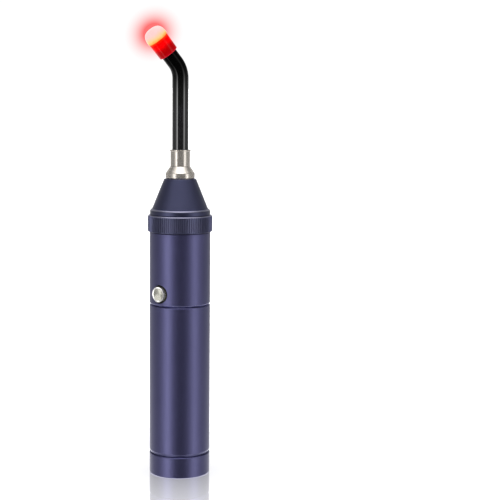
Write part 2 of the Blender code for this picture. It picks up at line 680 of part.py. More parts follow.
def build_button(barrel, button):
    """Metal push button with its seal, the tact switch behind it and the holder that carries both."""
    face = BARREL_RADIUS + BUTTON_PROUD
    flange_front = HEAD_BORE_RADIUS - BUTTON_FLANGE_SETBACK
    flange_back = flange_front - BUTTON_FLANGE_THICKNESS
    turned(
        "button_cap",
        [
            (0, flange_back),
            (BUTTON_FLANGE_RADIUS, flange_back),
            (BUTTON_FLANGE_RADIUS, flange_front),
            (BUTTON_RADIUS, flange_front),
            (BUTTON_RADIUS, face - BUTTON_CHAMFER),
            (BUTTON_RADIUS - BUTTON_CHAMFER, face),
            (BUTTON_RADIUS - 2 * BUTTON_CHAMFER, face - BUTTON_DISH),
            (0, face),
        ],
        "nickel",
        button,
    )
    plunger_top = flange_back - SEAT_GAP
    plunger_bottom = plunger_top - PLUNGER_LENGTH
    disc("switch_plunger", PLUNGER_RADIUS, plunger_bottom, PLUNGER_LENGTH, "nylon", button, SMALL_SIDES)

    seal = washer(
        "button_seal",
        BUTTON_SEAL_INNER,
        BUTTON_SEAL_OUTER,
        BARREL_RADIUS - BUTTON_SEAL_RECESS - BUTTON_SEAL_DEPTH,
        BUTTON_SEAL_DEPTH,
        "rubber",
        barrel,
    )
    seal.matrix_local = button_place()

    holder_bore = DRIVER_SPRING_RADIUS + DRIVER_SPRING_WIRE + RUN_GAP
    board_back = holder_bore + HOLDER_WALL
    board_front = board_back + SWITCH_BOARD_THICKNESS
    switch_bottom = board_front + SEAT_GAP
    switch_top = plunger_top - BUTTON_TRAVEL - RUN_GAP
    well_floor = plunger_bottom - BUTTON_TRAVEL - SEAT_GAP
    half_side = SWITCH_SIDE / 2
    switch = block(
        "tact_switch",
        (-half_side, -half_side, switch_bottom),
        (half_side, half_side, switch_top),
        "nylon",
        barrel,
    )
    switch.matrix_local = button_place()
    well_depth = switch_top - well_floor + OVERRUN
    well = disc("switch_well_cut", PLUNGER_RADIUS + RUN_GAP, 0, well_depth, "rubber", barrel, SMALL_SIDES)
    well.matrix_local = button_place() @ Matrix.Translation((0, 0, well_floor))
    cut(switch, well)

    half_slot = BUTTON_FLANGE_RADIUS + HOLDER_SLOT_MARGIN
    half_width = half_slot - SWITCH_BOARD_MARGIN
    block(
        "switch_board",
        (-half_width, -board_front, HOLDER_BOTTOM),
        (half_width, -board_back, HOLDER_TOP),
        "circuit_board",
        barrel,
    )

    holder = washer(
        "switch_holder",
        holder_bore,
        INSERT_RADIUS,
        HOLDER_BOTTOM,
        HOLDER_TOP - HOLDER_BOTTOM,
        "nylon",
        barrel,
    )
    slot = block(
        "holder_slot_cut",
        (-half_slot, -INSERT_RADIUS - OVERRUN, HOLDER_BOTTOM - OVERRUN),
        (half_slot, -board_back + SEAT_GAP, HOLDER_TOP + OVERRUN),
        "rubber",
        barrel,
    )
    cut(holder, slot)


def build_driver(barrel):
    """Driver board with its parts, and the spring that meets the cell's nub."""
    disc("driver_board", INSERT_RADIUS, DRIVER_BOTTOM, BOARD_THICKNESS, "circuit_board", barrel)
    coil(
        "driver_spring",
        DRIVER_SPRING_RADIUS,
        DRIVER_SPRING_WIRE,
        NUB_TOP + SEAT_GAP,
        HOLDER_TOP,
        DRIVER_SPRING_TURNS,
        barrel,
    )
    parts_level = DRIVER_TOP + SEAT_GAP
    inductor = disc("driver_inductor", INDUCTOR_RADIUS, 0, INDUCTOR_HEIGHT, "nylon", barrel, SMALL_SIDES)
    inductor_place = SINK_CAVITY_RADIUS - INDUCTOR_INSET
    inductor.location = (-inductor_place, inductor_place, parts_level)
    capacitor = disc("driver_capacitor", CAPACITOR_RADIUS, 0, CAPACITOR_HEIGHT, "steel", barrel, SMALL_SIDES)
    capacitor.location = (CAPACITOR_SIDE, CAPACITOR_INSET - SINK_CAVITY_RADIUS, parts_level)
    chip = block(
        "driver_chip",
        (-CHIP_WIDTH / 2, -CHIP_LENGTH / 2, 0),
        (CHIP_WIDTH / 2, CHIP_LENGTH / 2, CHIP_HEIGHT),
        "nylon",
        barrel,
    )
    chip_across = SINK_CAVITY_RADIUS - CHIP_INSET_ACROSS
    chip_along = SINK_CAVITY_RADIUS - CHIP_INSET_ALONG
    chip.location = (chip_across, chip_along, parts_level)


def build_light_source(barrel):
    """Heat sink, board of red emitters with its two leads, reflector and front lens."""
    sink = turned(
        "led_heat_sink",
        [
            (0, SINK_BOTTOM + SINK_CAVITY_HEIGHT),
            (SINK_CAVITY_RADIUS, SINK_BOTTOM + SINK_CAVITY_HEIGHT),
            (SINK_CAVITY_RADIUS, SINK_BOTTOM),
            (INSERT_RADIUS, SINK_BOTTOM),
            (INSERT_RADIUS, SINK_TOP),
            (0, SINK_TOP),
        ],
        "brass",
        barrel,
    )
    for name, side, finish in (("positive", 1, "red_lead"), ("negative", -1, "rubber")):
        lead = disc(
            "led_lead_" + name,
            LEAD_RADIUS,
            SINK_BOTTOM,
            LED_BOARD_TOP - SINK_BOTTOM,
            finish,
            barrel,
            SMALL_SIDES,
        )
        lead.location.x = side * LEAD_OFFSET
        hole = disc(
            f"lead_{name}_cut",
            LEAD_HOLE_RADIUS,
            SINK_BOTTOM,
            SINK_HEIGHT + OVERRUN,
            "rubber",
            barrel,
            SMALL_SIDES,
        )
        hole.location.x = side * LEAD_OFFSET
        hole.rotation_euler.z = math.pi / SMALL_SIDES
        cut(sink, hole)
    disc("led_board", LED_BOARD_RADIUS, LED_BOARD_BOTTOM, LED_BOARD_THICKNESS, "white_board", barrel)
    places = [(0.0, 0.0)]
    for i in range(OUTER_LEDS):
        angle = math.tau * i / OUTER_LEDS
        places.append((LED_CIRCLE_RADIUS * math.cos(angle), LED_CIRCLE_RADIUS * math.sin(angle)))
    for number, (x, y) in enumerate(places, start=1):
        emitter = turned(
            f"led_emitter_{number}",
            [
                (0, 0),
                (LED_RADIUS, 0),
                (LED_RADIUS, LED_BASE_HEIGHT),
                (LED_DOME_RADIUS, LED_BASE_HEIGHT),
                (LED_DOME_RADIUS / math.sqrt(2), LED_BASE_HEIGHT + LED_DOME_HEIGHT / math.sqrt(2)),
                (0, LED_BASE_HEIGHT + LED_DOME_HEIGHT),
            ],
            "emitter",
            barrel,
            SMALL_SIDES,
        )
        emitter.location = (x, y, REFLECTOR_BOTTOM)
    inside = []
    for step in range(REFLECTOR_STEPS + 1):
        rise = step / REFLECTOR_STEPS
        flare = (REFLECTOR_MOUTH_RADIUS - REFLECTOR_THROAT_RADIUS) * math.sqrt(rise)
        inside.append((REFLECTOR_THROAT_RADIUS + flare, REFLECTOR_BOTTOM + REFLECTOR_HEIGHT * rise))
    outside = [(radius + REFLECTOR_WALL, height) for radius, height in inside]
    turned("reflector", outside + inside[::-1], "mirror", barrel)
    disc("front_lens", INSERT_RADIUS, FRONT_LENS_BOTTOM, FRONT_LENS_THICKNESS, "glass", barrel)


def build_bezel(seal, bezel):
    """Knurled ring that screws onto the head, and the rubber ring it presses on the front lens."""
    radius = BEZEL_FLANGE_BORE_RADIUS + LENS_RING_SECTION + SEAL_GAP
    rubber_ring("lens_o_ring", radius, LENS_RING_LEVEL, LENS_RING_SECTION, seal)
    bm = bmesh.new()
    root = BEZEL_RADIUS - BEZEL_RIDGE_DEPTH

    def plain(ring_radius, height):
        return circle(bm, ring_radius, height, 2 * RIDGES // RIDGE_EDGES_PER_SIDE)

    def ridged(height):
        ring = circle(bm, BEZEL_RADIUS, height, 2 * RIDGES)
        for vert in ring[1::2]:
            vert.co.xy *= root / BEZEL_RADIUS
        return ring

    chamfered = root - BEZEL_CHAMFER
    rings = [
        plain(NECK_BORE_RADIUS, BEZEL_BOTTOM),
        circle(bm, root, BEZEL_BOTTOM, 2 * RIDGES),
        ridged(BEZEL_BOTTOM + BEZEL_RIDGE_DEPTH),
        ridged(BEZEL_TOP - BEZEL_CHAMFER),
        circle(bm, chamfered, BEZEL_TOP, 2 * RIDGES),
        plain(SOCKET_RADIUS, BEZEL_TOP),
        plain(SOCKET_RADIUS, BEZEL_FLANGE_TOP),
        plain(BEZEL_FLANGE_BORE_RADIUS, BEZEL_FLANGE_TOP),
        plain(BEZEL_FLANGE_BORE_RADIUS, BEZEL_FLANGE_BOTTOM),
        plain(NECK_BORE_RADIUS, BEZEL_FLANGE_BOTTOM),
    ]
    skin(bm, rings + rings[:1])
    add_piece("bezel_ring", bm, "anodised", bezel)


def build_cone(cone):
    """Push-on nose cone with its rubber ring, the condenser lens and the ring that holds the lens."""
    seal_bottom = CONE_BOTTOM + (SOCKET_DEPTH - 2 * RING_SECTION - 2 * SEAL_GAP) / 2
    lip_turn = []
    for step in range(DOME_STEPS):
        angle = math.pi / 2 * step / (DOME_STEPS - 1)
        radius = LIP_RADIUS - LIP_ROUND * (1 - math.cos(angle))
        lip_turn.append((radius, LIP_TOP - LIP_ROUND * (1 - math.sin(angle))))
    turned(
        "cone_adapter",
        [
            (POCKET_RADIUS, CONE_BOTTOM),
            (CONE_SPIGOT_RADIUS, CONE_BOTTOM),
            *groove(CONE_SPIGOT_RADIUS, SOCKET_RADIUS, seal_bottom),
            (CONE_SPIGOT_RADIUS, LIP_BOTTOM),
            (LIP_RADIUS - EDGE_CHAMFER, LIP_BOTTOM),
            (LIP_RADIUS, LIP_BOTTOM + EDGE_CHAMFER),
            *lip_turn,
            (CONE_BASE_RADIUS, LIP_TOP),
            (CONE_TOP_RADIUS, CONE_TOP - CONE_CHAMFER),
            (CONE_TOP_RADIUS - CONE_CHAMFER, CONE_TOP),
            (GUIDE_BORE_RADIUS, CONE_TOP),
            (GUIDE_BORE_RADIUS, GUIDE_BORE_BOTTOM),
            (POCKET_RADIUS - POCKET_STEP, POCKET_TOP),
            (POCKET_RADIUS, POCKET_TOP),
        ],
        "anodised",
        cone,
        OUTER_SIDES,
    )
    groove_ring("cone_o_ring", SOCKET_RADIUS, seal_bottom, cone)
    lens_radius = POCKET_RADIUS - RUN_GAP
    crown_radius = lens_radius - CONDENSER_LEDGE
    crown = []
    for step in range(DOME_STEPS):
        share = step / DOME_STEPS
        crown.append((crown_radius * share, CONDENSER_RIM_BOTTOM - CONDENSER_SAG * (1 - share**2)))
    turned(
        "condenser_lens",
        [
            *crown,
            (crown_radius, CONDENSER_RIM_BOTTOM),
            (lens_radius, CONDENSER_RIM_BOTTOM),
            (lens_radius, CONDENSER_TOP),
            (0, CONDENSER_TOP),
        ],
        "glass",
        cone,
    )
    washer(
        "condenser_retainer",
        crown_radius + CONDENSER_RETAINER_GAP,
        lens_radius,
        CONDENSER_RETAINER_BOTTOM,
        CONDENSER_RETAINER_HEIGHT,
        "nylon",
        cone,
    )


def build_guide(seal, guide):
    """Metal ferrule with its rubber ring, and the bent rod: a black sheath round a clear core."""
    seal_bottom = FERRULE_BOTTOM + FERRULE_SEAL_RISE
    groove_ring("ferrule_o_ring", GUIDE_BORE_RADIUS, seal_bottom, seal)
    lip_radius = FERRULE_SLEEVE_RADIUS + FERRULE_LIP_WIDTH
    lip_bottom = FERRULE_TOP - FERRULE_LIP_HEIGHT
    turned(
        "ferrule",
        [
            (ROD_BORE_RADIUS - FERRULE_FLOOR_WIDTH, FERRULE_BOTTOM),
            (FERRULE_SPIGOT_RADIUS, FERRULE_BOTTOM),
            *groove(FERRULE_SPIGOT_RADIUS, GUIDE_BORE_RADIUS, seal_bottom),
            (FERRULE_SPIGOT_RADIUS, FERRULE_SEAT),
            (FERRULE_FLANGE_RADIUS - FERRULE_ROUND, FERRULE_SEAT),
            (FERRULE_FLANGE_RADIUS, FERRULE_SEAT + FERRULE_ROUND),
            (FERRULE_FLANGE_RADIUS, FERRULE_FLANGE_TOP - FERRULE_ROUND),
            (FERRULE_FLANGE_RADIUS - FERRULE_ROUND, FERRULE_FLANGE_TOP),
            (FERRULE_SLEEVE_RADIUS, FERRULE_SLEEVE_BOTTOM),
            (FERRULE_SLEEVE_RADIUS, lip_bottom),
            (lip_radius, lip_bottom),
            (lip_radius, FERRULE_TOP),
            (ROD_BORE_RADIUS, FERRULE_TOP),
            (ROD_BORE_RADIUS, FERRULE_BOTTOM + FERRULE_FLOOR),
            (ROD_BORE_RADIUS - FERRULE_FLOOR_WIDTH, FERRULE_BOTTOM + FERRULE_FLOOR),
        ],
        "nickel",
        guide,
    )
    stations = guide_stations(ROD_END + TIP_GRIP_DEPTH)
    bm = bmesh.new()
    outer = [guide_ring(bm, station, ROD_RADIUS, RING_SIDES) for station in stations]
    inner = [guide_ring(bm, station, ROD_RADIUS - SHEATH_WALL, RING_SIDES) for station in stations]
    rings = outer + inner[::-1]
    skin(bm, rings + rings[:1])
    add_piece("guide_sheath", bm, "black_sheath", guide)
    bm = bmesh.new()
    core_radius = ROD_RADIUS - SHEATH_WALL - RUN_GAP
    rings = [guide_ring(bm, station, core_radius, SMALL_SIDES) for station in stations]
    foot = [bm.verts.new(stations[0][0])]
    end = [bm.verts.new(stations[-1][0])]
    skin(bm, [foot] + rings + [end])
    add_piece("fibre_core", bm, "fibre", guide)


def tip_place():
    """The tip's frame: where the collar starts on the rod, its Z along the rod."""
    centre, direction = guide_stations(ROD_END)[-1]
    turn = Vector((0, 0, 1)).rotation_difference(direction).to_matrix().to_4x4()
    return Matrix.Translation(centre) @ turn


def build_tip(tip):
    """Red collar that pushes onto the rod, and the frosted dome that glows at its end."""
    turned(
        "tip_collar",
        [
            (ROD_BORE_RADIUS, 0),
            (TIP_RADIUS - TIP_CHAMFER, 0),
            (TIP_RADIUS, TIP_CHAMFER),
            (TIP_END_RADIUS, TIP_COLLAR_LENGTH),
            (ROD_BORE_RADIUS, TIP_COLLAR_LENGTH),
        ],
        "red_acrylic",
        tip,
        INNER_SIDES,
    )
    dome_base = TIP_COLLAR_LENGTH + SEAT_GAP
    dome = []
    for step in range(DOME_STEPS + 1):
        angle = math.pi / 2 * step / DOME_STEPS
        height = dome_base + TIP_DOME_LENGTH * math.sin(angle) ** TIP_DOME_SHARE
        radius = TIP_DOME_RADIUS * math.cos(angle) ** TIP_DOME_SHARE
        dome.append((radius if step < DOME_STEPS else 0, height))
    turned(
        "tip_dome",
        [
            (0, dome_base - TIP_SPIGOT_LENGTH),
            (ROD_RADIUS, dome_base - TIP_SPIGOT_LENGTH),
            (ROD_RADIUS, dome_base),
            *dome,
        ],
        "glowing_dome",
        tip,
        INNER_SIDES,
    )


def main():
    """Build the wand from its base to its tip."""
    clear_scene()
    barrel = make_body("barrel")
    build_tail(make_body("tail"))
    build_cell(make_body("battery"))
    build_barrel(barrel)
    build_button(barrel, make_body("button", button_place()))
    build_driver(barrel)
    build_light_source(barrel)
    build_bezel(make_body("lens_seal"), make_body("bezel"))
    build_cone(make_body("cone"))
    build_guide(make_body("guide_seal"), make_body("light_guide"))
    build_tip(make_body("tip", tip_place()))


main()
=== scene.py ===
"""Looks of the red light therapy wand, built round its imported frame.

Lengths are metres in the frame's own axes: +Z up the barrel, the push button on -Y. Each sub-assembly is a
class whose fields are its sizes. What another piece settles is read from the frame's boxes.
"""

from __future__ import annotations

import logging
import math
from collections.abc import Callable, Mapping, Sequence
from dataclasses import dataclass, field, replace
from enum import Enum
from typing import NamedTuple

import bmesh
import bpy
from mathutils import Matrix, Vector


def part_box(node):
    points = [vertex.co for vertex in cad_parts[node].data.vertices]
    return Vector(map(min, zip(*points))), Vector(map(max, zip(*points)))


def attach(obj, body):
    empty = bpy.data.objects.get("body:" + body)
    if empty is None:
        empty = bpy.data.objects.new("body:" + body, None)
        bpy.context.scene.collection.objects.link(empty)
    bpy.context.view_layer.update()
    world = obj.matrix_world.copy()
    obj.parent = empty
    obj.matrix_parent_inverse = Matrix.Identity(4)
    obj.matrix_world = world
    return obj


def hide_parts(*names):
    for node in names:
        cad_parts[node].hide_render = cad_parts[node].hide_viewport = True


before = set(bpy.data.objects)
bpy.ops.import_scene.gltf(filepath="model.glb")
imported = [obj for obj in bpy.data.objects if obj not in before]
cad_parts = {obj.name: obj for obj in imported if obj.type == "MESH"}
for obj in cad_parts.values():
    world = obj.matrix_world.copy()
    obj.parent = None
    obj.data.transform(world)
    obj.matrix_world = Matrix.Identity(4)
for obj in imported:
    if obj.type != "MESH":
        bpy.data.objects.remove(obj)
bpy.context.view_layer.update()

log = logging.getLogger("wand")

Mesh = bpy.types.Mesh
Piece = bpy.types.Object
Socket = bpy.types.NodeSocket
Colour = tuple[float, float, float]
Corners = Sequence[tuple[float, ...]]
Feeds = Mapping[str | int, object]
Pick = Callable[[Vector], bool]
Stops = Sequence[tuple[float, float]]

BODY_SIDES = 144
PIECE_SIDES = 96
SMALL_SIDES = 64
CORE_SIDES = 48
RUBBER_SIDES = 20
EMITTER_SIDES = 24
DIAMOND_SIDES = 4
ARC_STEPS = 5
SUPPORT = 0.00012
SHORTEST_RUN = 4 * SUPPORT
ON_AXIS = 1e-7
SHARP_ANGLE = math.radians(38)
JOINT_LINE = 0.00008
NOISE_LOW, NOISE_HIGH = 0.3, 0.7


class Slot(Enum):
    """Material slots of the record."""

    BARREL = "anodised_barrel"
    NICKEL = "satin_nickel"
    BUTTON = "bright_button"
    SHEATH = "black_sheath"
    FIBRE = "clear_fibre"
    COLLAR = "red_acrylic"
    DOME = "glowing_dome"
    RUBBER = "black_rubber"
    NYLON = "black_nylon"
    STEEL = "bare_steel"
    BRASS = "yellow_brass"
    SPRING = "gold_spring"
    BOARD = "green_board"
    WHITE = "white_board"
    WRAP = "cell_wrap"
    MIRROR = "reflector_mirror"
    GLASS = "clear_glass"
    EMITTER = "red_emitter"
    LEAD = "red_lead"


def linear(red: int, green: int, blue: int) -> Colour:
    """Turn a display colour, 0 to 255, into the linear values that shaders take."""
    shares = [channel / 255 for channel in (red, green, blue)]
    return tuple(share / 12.92 if share <= 0.04045 else ((share + 0.055) / 1.055) ** 2.4 for share in shares)


class Wiring:
    """A node tree, with short calls for what every kind of tree needs."""

    def __init__(self, tree: bpy.types.NodeTree, sums: str = "ShaderNodeMath") -> None:
        """Take a tree and the type of its arithmetic nodes."""
        self.tree = tree
        self.sums = sums

    def feed(self, target: Socket, value: object) -> None:
        """Link a socket into an input, or set the input to a value.

        Args:
            target: The input.
            value: The socket or the value.
        """
        if isinstance(value, Socket):
            self.tree.links.new(value, target)
        else:
            target.default_value = value

    def node(self, kind: str, feeds: Feeds | None = None, **settings: object) -> bpy.types.Node:
        """Add a node.

        Args:
            kind: Its type.
            feeds: Sockets or values for its inputs, by name or place.
            settings: Its properties.

        Returns:
            The node.
        """
        made = self.tree.nodes.new(kind)
        for key, value in settings.items():
            setattr(made, key, value)
        for key, value in (feeds or {}).items():
            self.feed(made.inputs[key], value)
        return made

    def sum(self, operation: str, *values: Socket | float) -> Socket:
        """One step of arithmetic on sockets and numbers."""
        return self.node(self.sums, dict(enumerate(values)), operation=operation).outputs[0]

    def limit(self, value: Socket, top: float) -> Socket:
        """Keep a value between nothing and a top."""
        return self.sum("MINIMUM", self.sum("MAXIMUM", value, 0.0), top)

    def remap(self, value: Socket, spans: Sequence[float], **settings: object) -> Socket:
        """Map a range of a value onto another range, or onto 0 to 1.

        Args:
            value: The value.
            spans: Start and end of its range, then of the new one.
            settings: The node's properties.

        Returns:
            The new value.
        """
        feeds = {"Value": value, **dict(zip(("From Min", "From Max", "To Min", "To Max"), spans))}
        return self.node("ShaderNodeMapRange", feeds, **settings).outputs["Result"]

    def ramp(self, value: Socket, stops: Sequence[tuple[float, Colour]], blending: str = "LINEAR") -> Socket:
        """Colours along a value.

        Args:
            value: The value, 0 to 1.
            stops: Place and linear colour of each stop.
            blending: How the colours run between the stops.

        Returns:
            The colour.
        """
        made = self.node("ShaderNodeValToRGB", {"Fac": value})
        band = made.color_ramp
        band.interpolation = blending
        band.elements.remove(band.elements[-1])
        for number, (place, colour) in enumerate(stops):
            stop = band.elements[0] if number == 0 else band.elements.new(place)
            stop.position = place
            stop.color = (*colour, 1.0)
        return made.outputs["Color"]


class ShaderGraph(Wiring):
    """A material with a Principled shader, and the steps that the finishes share."""

    def __init__(self, name: str) -> None:
        """Start the material.

        Args:
            name: Its name.
        """
        self.material = bpy.data.materials.new(name)
        self.material.use_nodes = True
        super().__init__(self.material.node_tree)

    def dress(self, feeds: Feeds) -> None:
        """Feed the shader's own inputs, by name."""
        for name, value in feeds.items():
            self.feed(self.tree.nodes["Principled BSDF"].inputs[name], value)

    def place(self, stretch: Sequence[float] = (1.0, 1.0, 1.0), own_frame: Matrix | None = None) -> Socket:
        """Object coordinates, seen from a piece's own frame and stretched.

        Args:
            stretch: Scale along each axis.
            own_frame: Where the piece's own axes lie, or None for the wand's.

        Returns:
            The coordinates.
        """
        source = self.node("ShaderNodeTexCoord").outputs["Object"]
        if own_frame is not None:
            axes = {"Location": own_frame.to_translation(), "Rotation": own_frame.to_euler()}
            turn = self.node("ShaderNodeMapping", {"Vector": source, **axes}, vector_type="TEXTURE")
            source = turn.outputs[0]
        return self.node("ShaderNodeMapping", {"Vector": source, "Scale": stretch}).outputs[0]

    def level(self, place: Socket) -> Socket:
        """The height in some coordinates."""
        return self.node("ShaderNodeSeparateXYZ", {"Vector": place}).outputs["Z"]

    def noise(self, place: Socket, scale: float, detail: float = 3.0) -> Socket:
        """Fractal noise, in cells per metre and octaves."""
        feeds = {"Vector": place, "Scale": scale, "Detail": detail}
        return self.node("ShaderNodeTexNoise", feeds).outputs["Fac"]

    def spread(self, noise: Socket, low: float, high: float) -> Socket:
        """Stretch the middle of a noise over a range."""
        return self.remap(noise, (NOISE_LOW, NOISE_HIGH, low, high))

    def rise(self, levels: tuple[float, float], start: float, end: float) -> Socket:
        """Go smoothly from one value to another between two levels of the piece."""
        return self.remap(self.level(self.place()), (*levels, start, end), interpolation_type="SMOOTHSTEP")

    def mix(self, share: Socket | float, under: Socket, over: Colour, way: str = "MIX") -> Socket:
        """Lay one colour over another.

        Args:
            share: How much of the upper colour shows.
            under: The lower colour.
            over: The upper colour.
            way: How they mix, in Blender's words.

        Returns:
            The mixed colour.
        """
        made = self.node("ShaderNodeMix", {"Factor": share}, data_type="RGBA", blend_type=way)
        colours = [socket for socket in made.inputs if socket.type == "RGBA"]
        self.feed(colours[0], under)
        self.feed(colours[1], (*over, 1.0))
        return next(socket for socket in made.outputs if socket.type == "RGBA")


@dataclass(frozen=True)
class Finish:
    """A surface finish: two close colours, a roughness range, a grain and, if turned, fine rings.

    Where dull_span is set, the gloss falls to dull_end between its two levels, and where dark_span is, the
    colour turns to dark between its two.
    """

    slot: Slot
    base: Colour
    tint: Colour
    rough_low: float
    rough_high: float
    metallic: float = 0.0
    grain: float = 4000.0
    relief: float = 0.00001
    strength: float = 0.25
    ring_stretch: float = 1.0
    coat: float = 0.0
    coat_roughness: float = 0.1
    specular: float = 0.5
    transmission: float = 0.0
    ior: float = 1.45
    patch_grain: float = 0.03
    patch_stretch: float = 0.4
    dull_span: tuple[float, float] | None = None
    dull_end: float = 0.1
    dark_span: tuple[float, float] | None = None
    dark: Colour = (0.001, 0.001, 0.001)

    def material(self, name: str, own_frame: Matrix | None = None) -> bpy.types.Material:
        """Build the finish as a material.

        Args:
            name: The material's name.
            own_frame: The piece's own axes, for a pattern that follows them.

        Returns:
            The material.
        """
        graph = ShaderGraph(name)
        across = 1.0 / self.ring_stretch
        fine = graph.noise(graph.place((across, across, 1.0), own_frame), self.grain)
        wide = graph.place((1.0, 1.0, self.patch_stretch), own_frame)
        patches = graph.noise(wide, self.grain * self.patch_grain, 2.0)
        colour = graph.ramp(patches, ((NOISE_LOW, self.base), (NOISE_HIGH, self.tint)))
        if self.dark_span:
            colour = graph.mix(graph.rise(self.dark_span, 0.0, 1.0), colour, self.dark)
        gloss = graph.rise(self.dull_span, self.specular, self.dull_end) if self.dull_span else self.specular
        relief = {"Strength": self.strength, "Distance": self.relief, "Height": fine}
        graph.dress({
            "Base Color": colour,
            "Metallic": self.metallic,
            "Roughness": graph.spread(fine, self.rough_low, self.rough_high),
            "IOR": self.ior,
            "Specular IOR Level": gloss,
            "Transmission Weight": self.transmission,
            "Coat Weight": self.coat,
            "Coat Roughness": self.coat_roughness,
            "Normal": graph.node("ShaderNodeBump", relief).outputs["Normal"],
        })
        return graph.material


@dataclass(frozen=True)
class Glow:
    """A lit plastic whose colour and light change along its own axis."""

    slot: Slot
    stops: Sequence[tuple[float, Colour]]
    length: float
    roughness: float
    strength: float = 0.92
    unlit: Colour = (0.22, 0.16, 0.16)
    specular: float = 0.1
    grain: float = 3000.0
    frost: float = 0.2
    clouds: float = 500.0
    cloud_depth: float = 0.02

    def material(self, name: str, own_frame: Matrix | None = None) -> bpy.types.Material:
        """Build the finish as a material.

        Args:
            name: The material's name.
            own_frame: The piece's own axes, the light changing along their Z.

        Returns:
            The material.
        """
        graph = ShaderGraph(name)
        place = graph.place(own_frame=own_frame)
        along = graph.remap(graph.level(place), (0.0, self.length))
        cloudy = graph.spread(graph.noise(place, self.clouds, 2.0), -self.cloud_depth, self.cloud_depth)
        lit = graph.ramp(graph.sum("ADD", along, cloudy), self.stops)
        smooth, rough = self.roughness * (1 - self.frost), self.roughness * (1 + self.frost)
        graph.dress({
            "Base Color": graph.mix(1.0, lit, self.unlit, "MULTIPLY"),
            "Emission Color": lit,
            "Emission Strength": self.strength,
            "Roughness": graph.spread(graph.noise(place, self.grain), smooth, rough),
            "Specular IOR Level": self.specular,
        })
        return graph.material


ANODISED = Finish(
    Slot.BARREL, (0.094, 0.092, 0.232), (0.102, 0.1, 0.244), 0.42, 0.5, 0.95,
    grain=5200.0, relief=0.000012, strength=0.22, coat=0.8, coat_roughness=0.4,
)
DARK_ANODISED = replace(ANODISED, base=(0.056, 0.06, 0.13), tint=(0.062, 0.066, 0.14), coat=0.5)
KNURLED = replace(ANODISED, base=(0.108, 0.112, 0.195), tint=(0.118, 0.122, 0.21), coat=0.05)
# Lighter, smoother copy of the anodising: a painted highlight, the top light's line drawn in colour on the
# lip's rounding.
EDGE_PAINTED_HIGHLIGHT = replace(
    ANODISED, base=(0.17, 0.168, 0.25), tint=(0.19, 0.188, 0.27), rough_low=0.32, rough_high=0.4
)
# Still lighter copy for the knurled ring's top chamfer: a painted highlight.
BEZEL_PAINTED_HIGHLIGHT = replace(EDGE_PAINTED_HIGHLIGHT, base=(0.22, 0.218, 0.31), tint=(0.24, 0.238, 0.33), coat=0.2)
# Darker copy of the anodising for the upward chamfers at the joints: painted shade that hides the top
# light's highlight there.
JOINT_TOP_PAINTED_SHADE = replace(ANODISED, base=(0.068, 0.068, 0.168), tint=(0.074, 0.074, 0.18), coat=0.2)
# Much lighter copy for the head tube's downward undercut: painted light on a face that looks down.
JOINT_UNDERSIDE_PAINTED_LIGHT = replace(ANODISED, base=(0.42, 0.42, 0.7), tint=(0.44, 0.44, 0.74))
# Lighter copy for the battery tube's undercut at the tail joint: painted light on a face that looks down.
TAIL_UNDERSIDE_PAINTED_LIGHT = replace(ANODISED, base=(0.12, 0.12, 0.27), tint=(0.13, 0.13, 0.29))
NICKEL = Finish(
    Slot.NICKEL, (0.6, 0.555, 0.5), (0.64, 0.595, 0.54), 0.2, 0.28, 0.8,
    grain=5000.0, relief=0.000006, ring_stretch=60.0,
)
BRIGHT = Finish(
    Slot.BUTTON, (0.56, 0.55, 0.48), (0.6, 0.59, 0.52), 0.1, 0.2, 0.85, grain=6000.0, relief=0.000006
)
# Lighter, whiter copy of the button's metal for its rim: partly polished metal, partly a painted highlight.
BUTTON_RIM_PAINTED_HIGHLIGHT = Finish(
    Slot.BUTTON, (0.74, 0.73, 0.72), (0.78, 0.77, 0.76), 0.22, 0.28, 0.8, grain=6000.0, relief=0.000006
)
SHEATH = Finish(
    Slot.SHEATH, (0.004, 0.004, 0.005), (0.008, 0.008, 0.009), 0.04, 0.07, grain=1500.0, relief=0.000008,
    strength=0.08, ior=1.9, dull_span=(0.173, 0.19), dull_end=0.02, dark_span=(0.169, 0.173),
)
RUBBER = Finish(
    Slot.RUBBER, (0.012, 0.012, 0.013), (0.02, 0.02, 0.021), 0.6, 0.8, grain=6000.0, specular=0.35
)
NYLON = Finish(Slot.NYLON, (0.02, 0.02, 0.022), (0.034, 0.034, 0.036), 0.45, 0.6, grain=5000.0)
STEEL = Finish(
    Slot.STEEL, (0.55, 0.55, 0.53), (0.63, 0.63, 0.6), 0.2, 0.34, 1.0, grain=5000.0, ring_stretch=30.0
)
BRASS = Finish(
    Slot.BRASS, (0.6, 0.41, 0.15), (0.7, 0.5, 0.2), 0.24, 0.38, 1.0, grain=5000.0, ring_stretch=40.0
)
SPRING = Finish(Slot.SPRING, (0.75, 0.52, 0.19), (0.84, 0.6, 0.24), 0.18, 0.3, 1.0, grain=5000.0)
BOARD = Finish(
    Slot.BOARD, (0.006, 0.075, 0.03), (0.02, 0.16, 0.06), 0.35, 0.5, grain=9000.0, relief=0.00003, coat=0.4
)
WHITE = Finish(Slot.WHITE, (0.7, 0.7, 0.68), (0.8, 0.8, 0.77), 0.35, 0.5)
WRAP = Finish(Slot.WRAP, (0.01, 0.07, 0.25), (0.014, 0.09, 0.3), 0.25, 0.36, grain=900.0, coat=0.3)
MIRROR = Finish(
    Slot.MIRROR, (0.86, 0.86, 0.88), (0.93, 0.93, 0.94), 0.03, 0.1, 1.0, grain=2500.0, relief=0.00002
)
GLASS = Finish(
    Slot.GLASS, (0.95, 0.98, 0.98), (1.0, 1.0, 1.0), 0.0, 0.03,
    grain=800.0, strength=0.02, transmission=1.0, ior=1.5,
)
FIBRE = Finish(
    Slot.FIBRE, (0.9, 0.86, 0.84), (1.0, 0.96, 0.94), 0.02, 0.08, grain=2000.0, transmission=0.8, ior=1.49
)
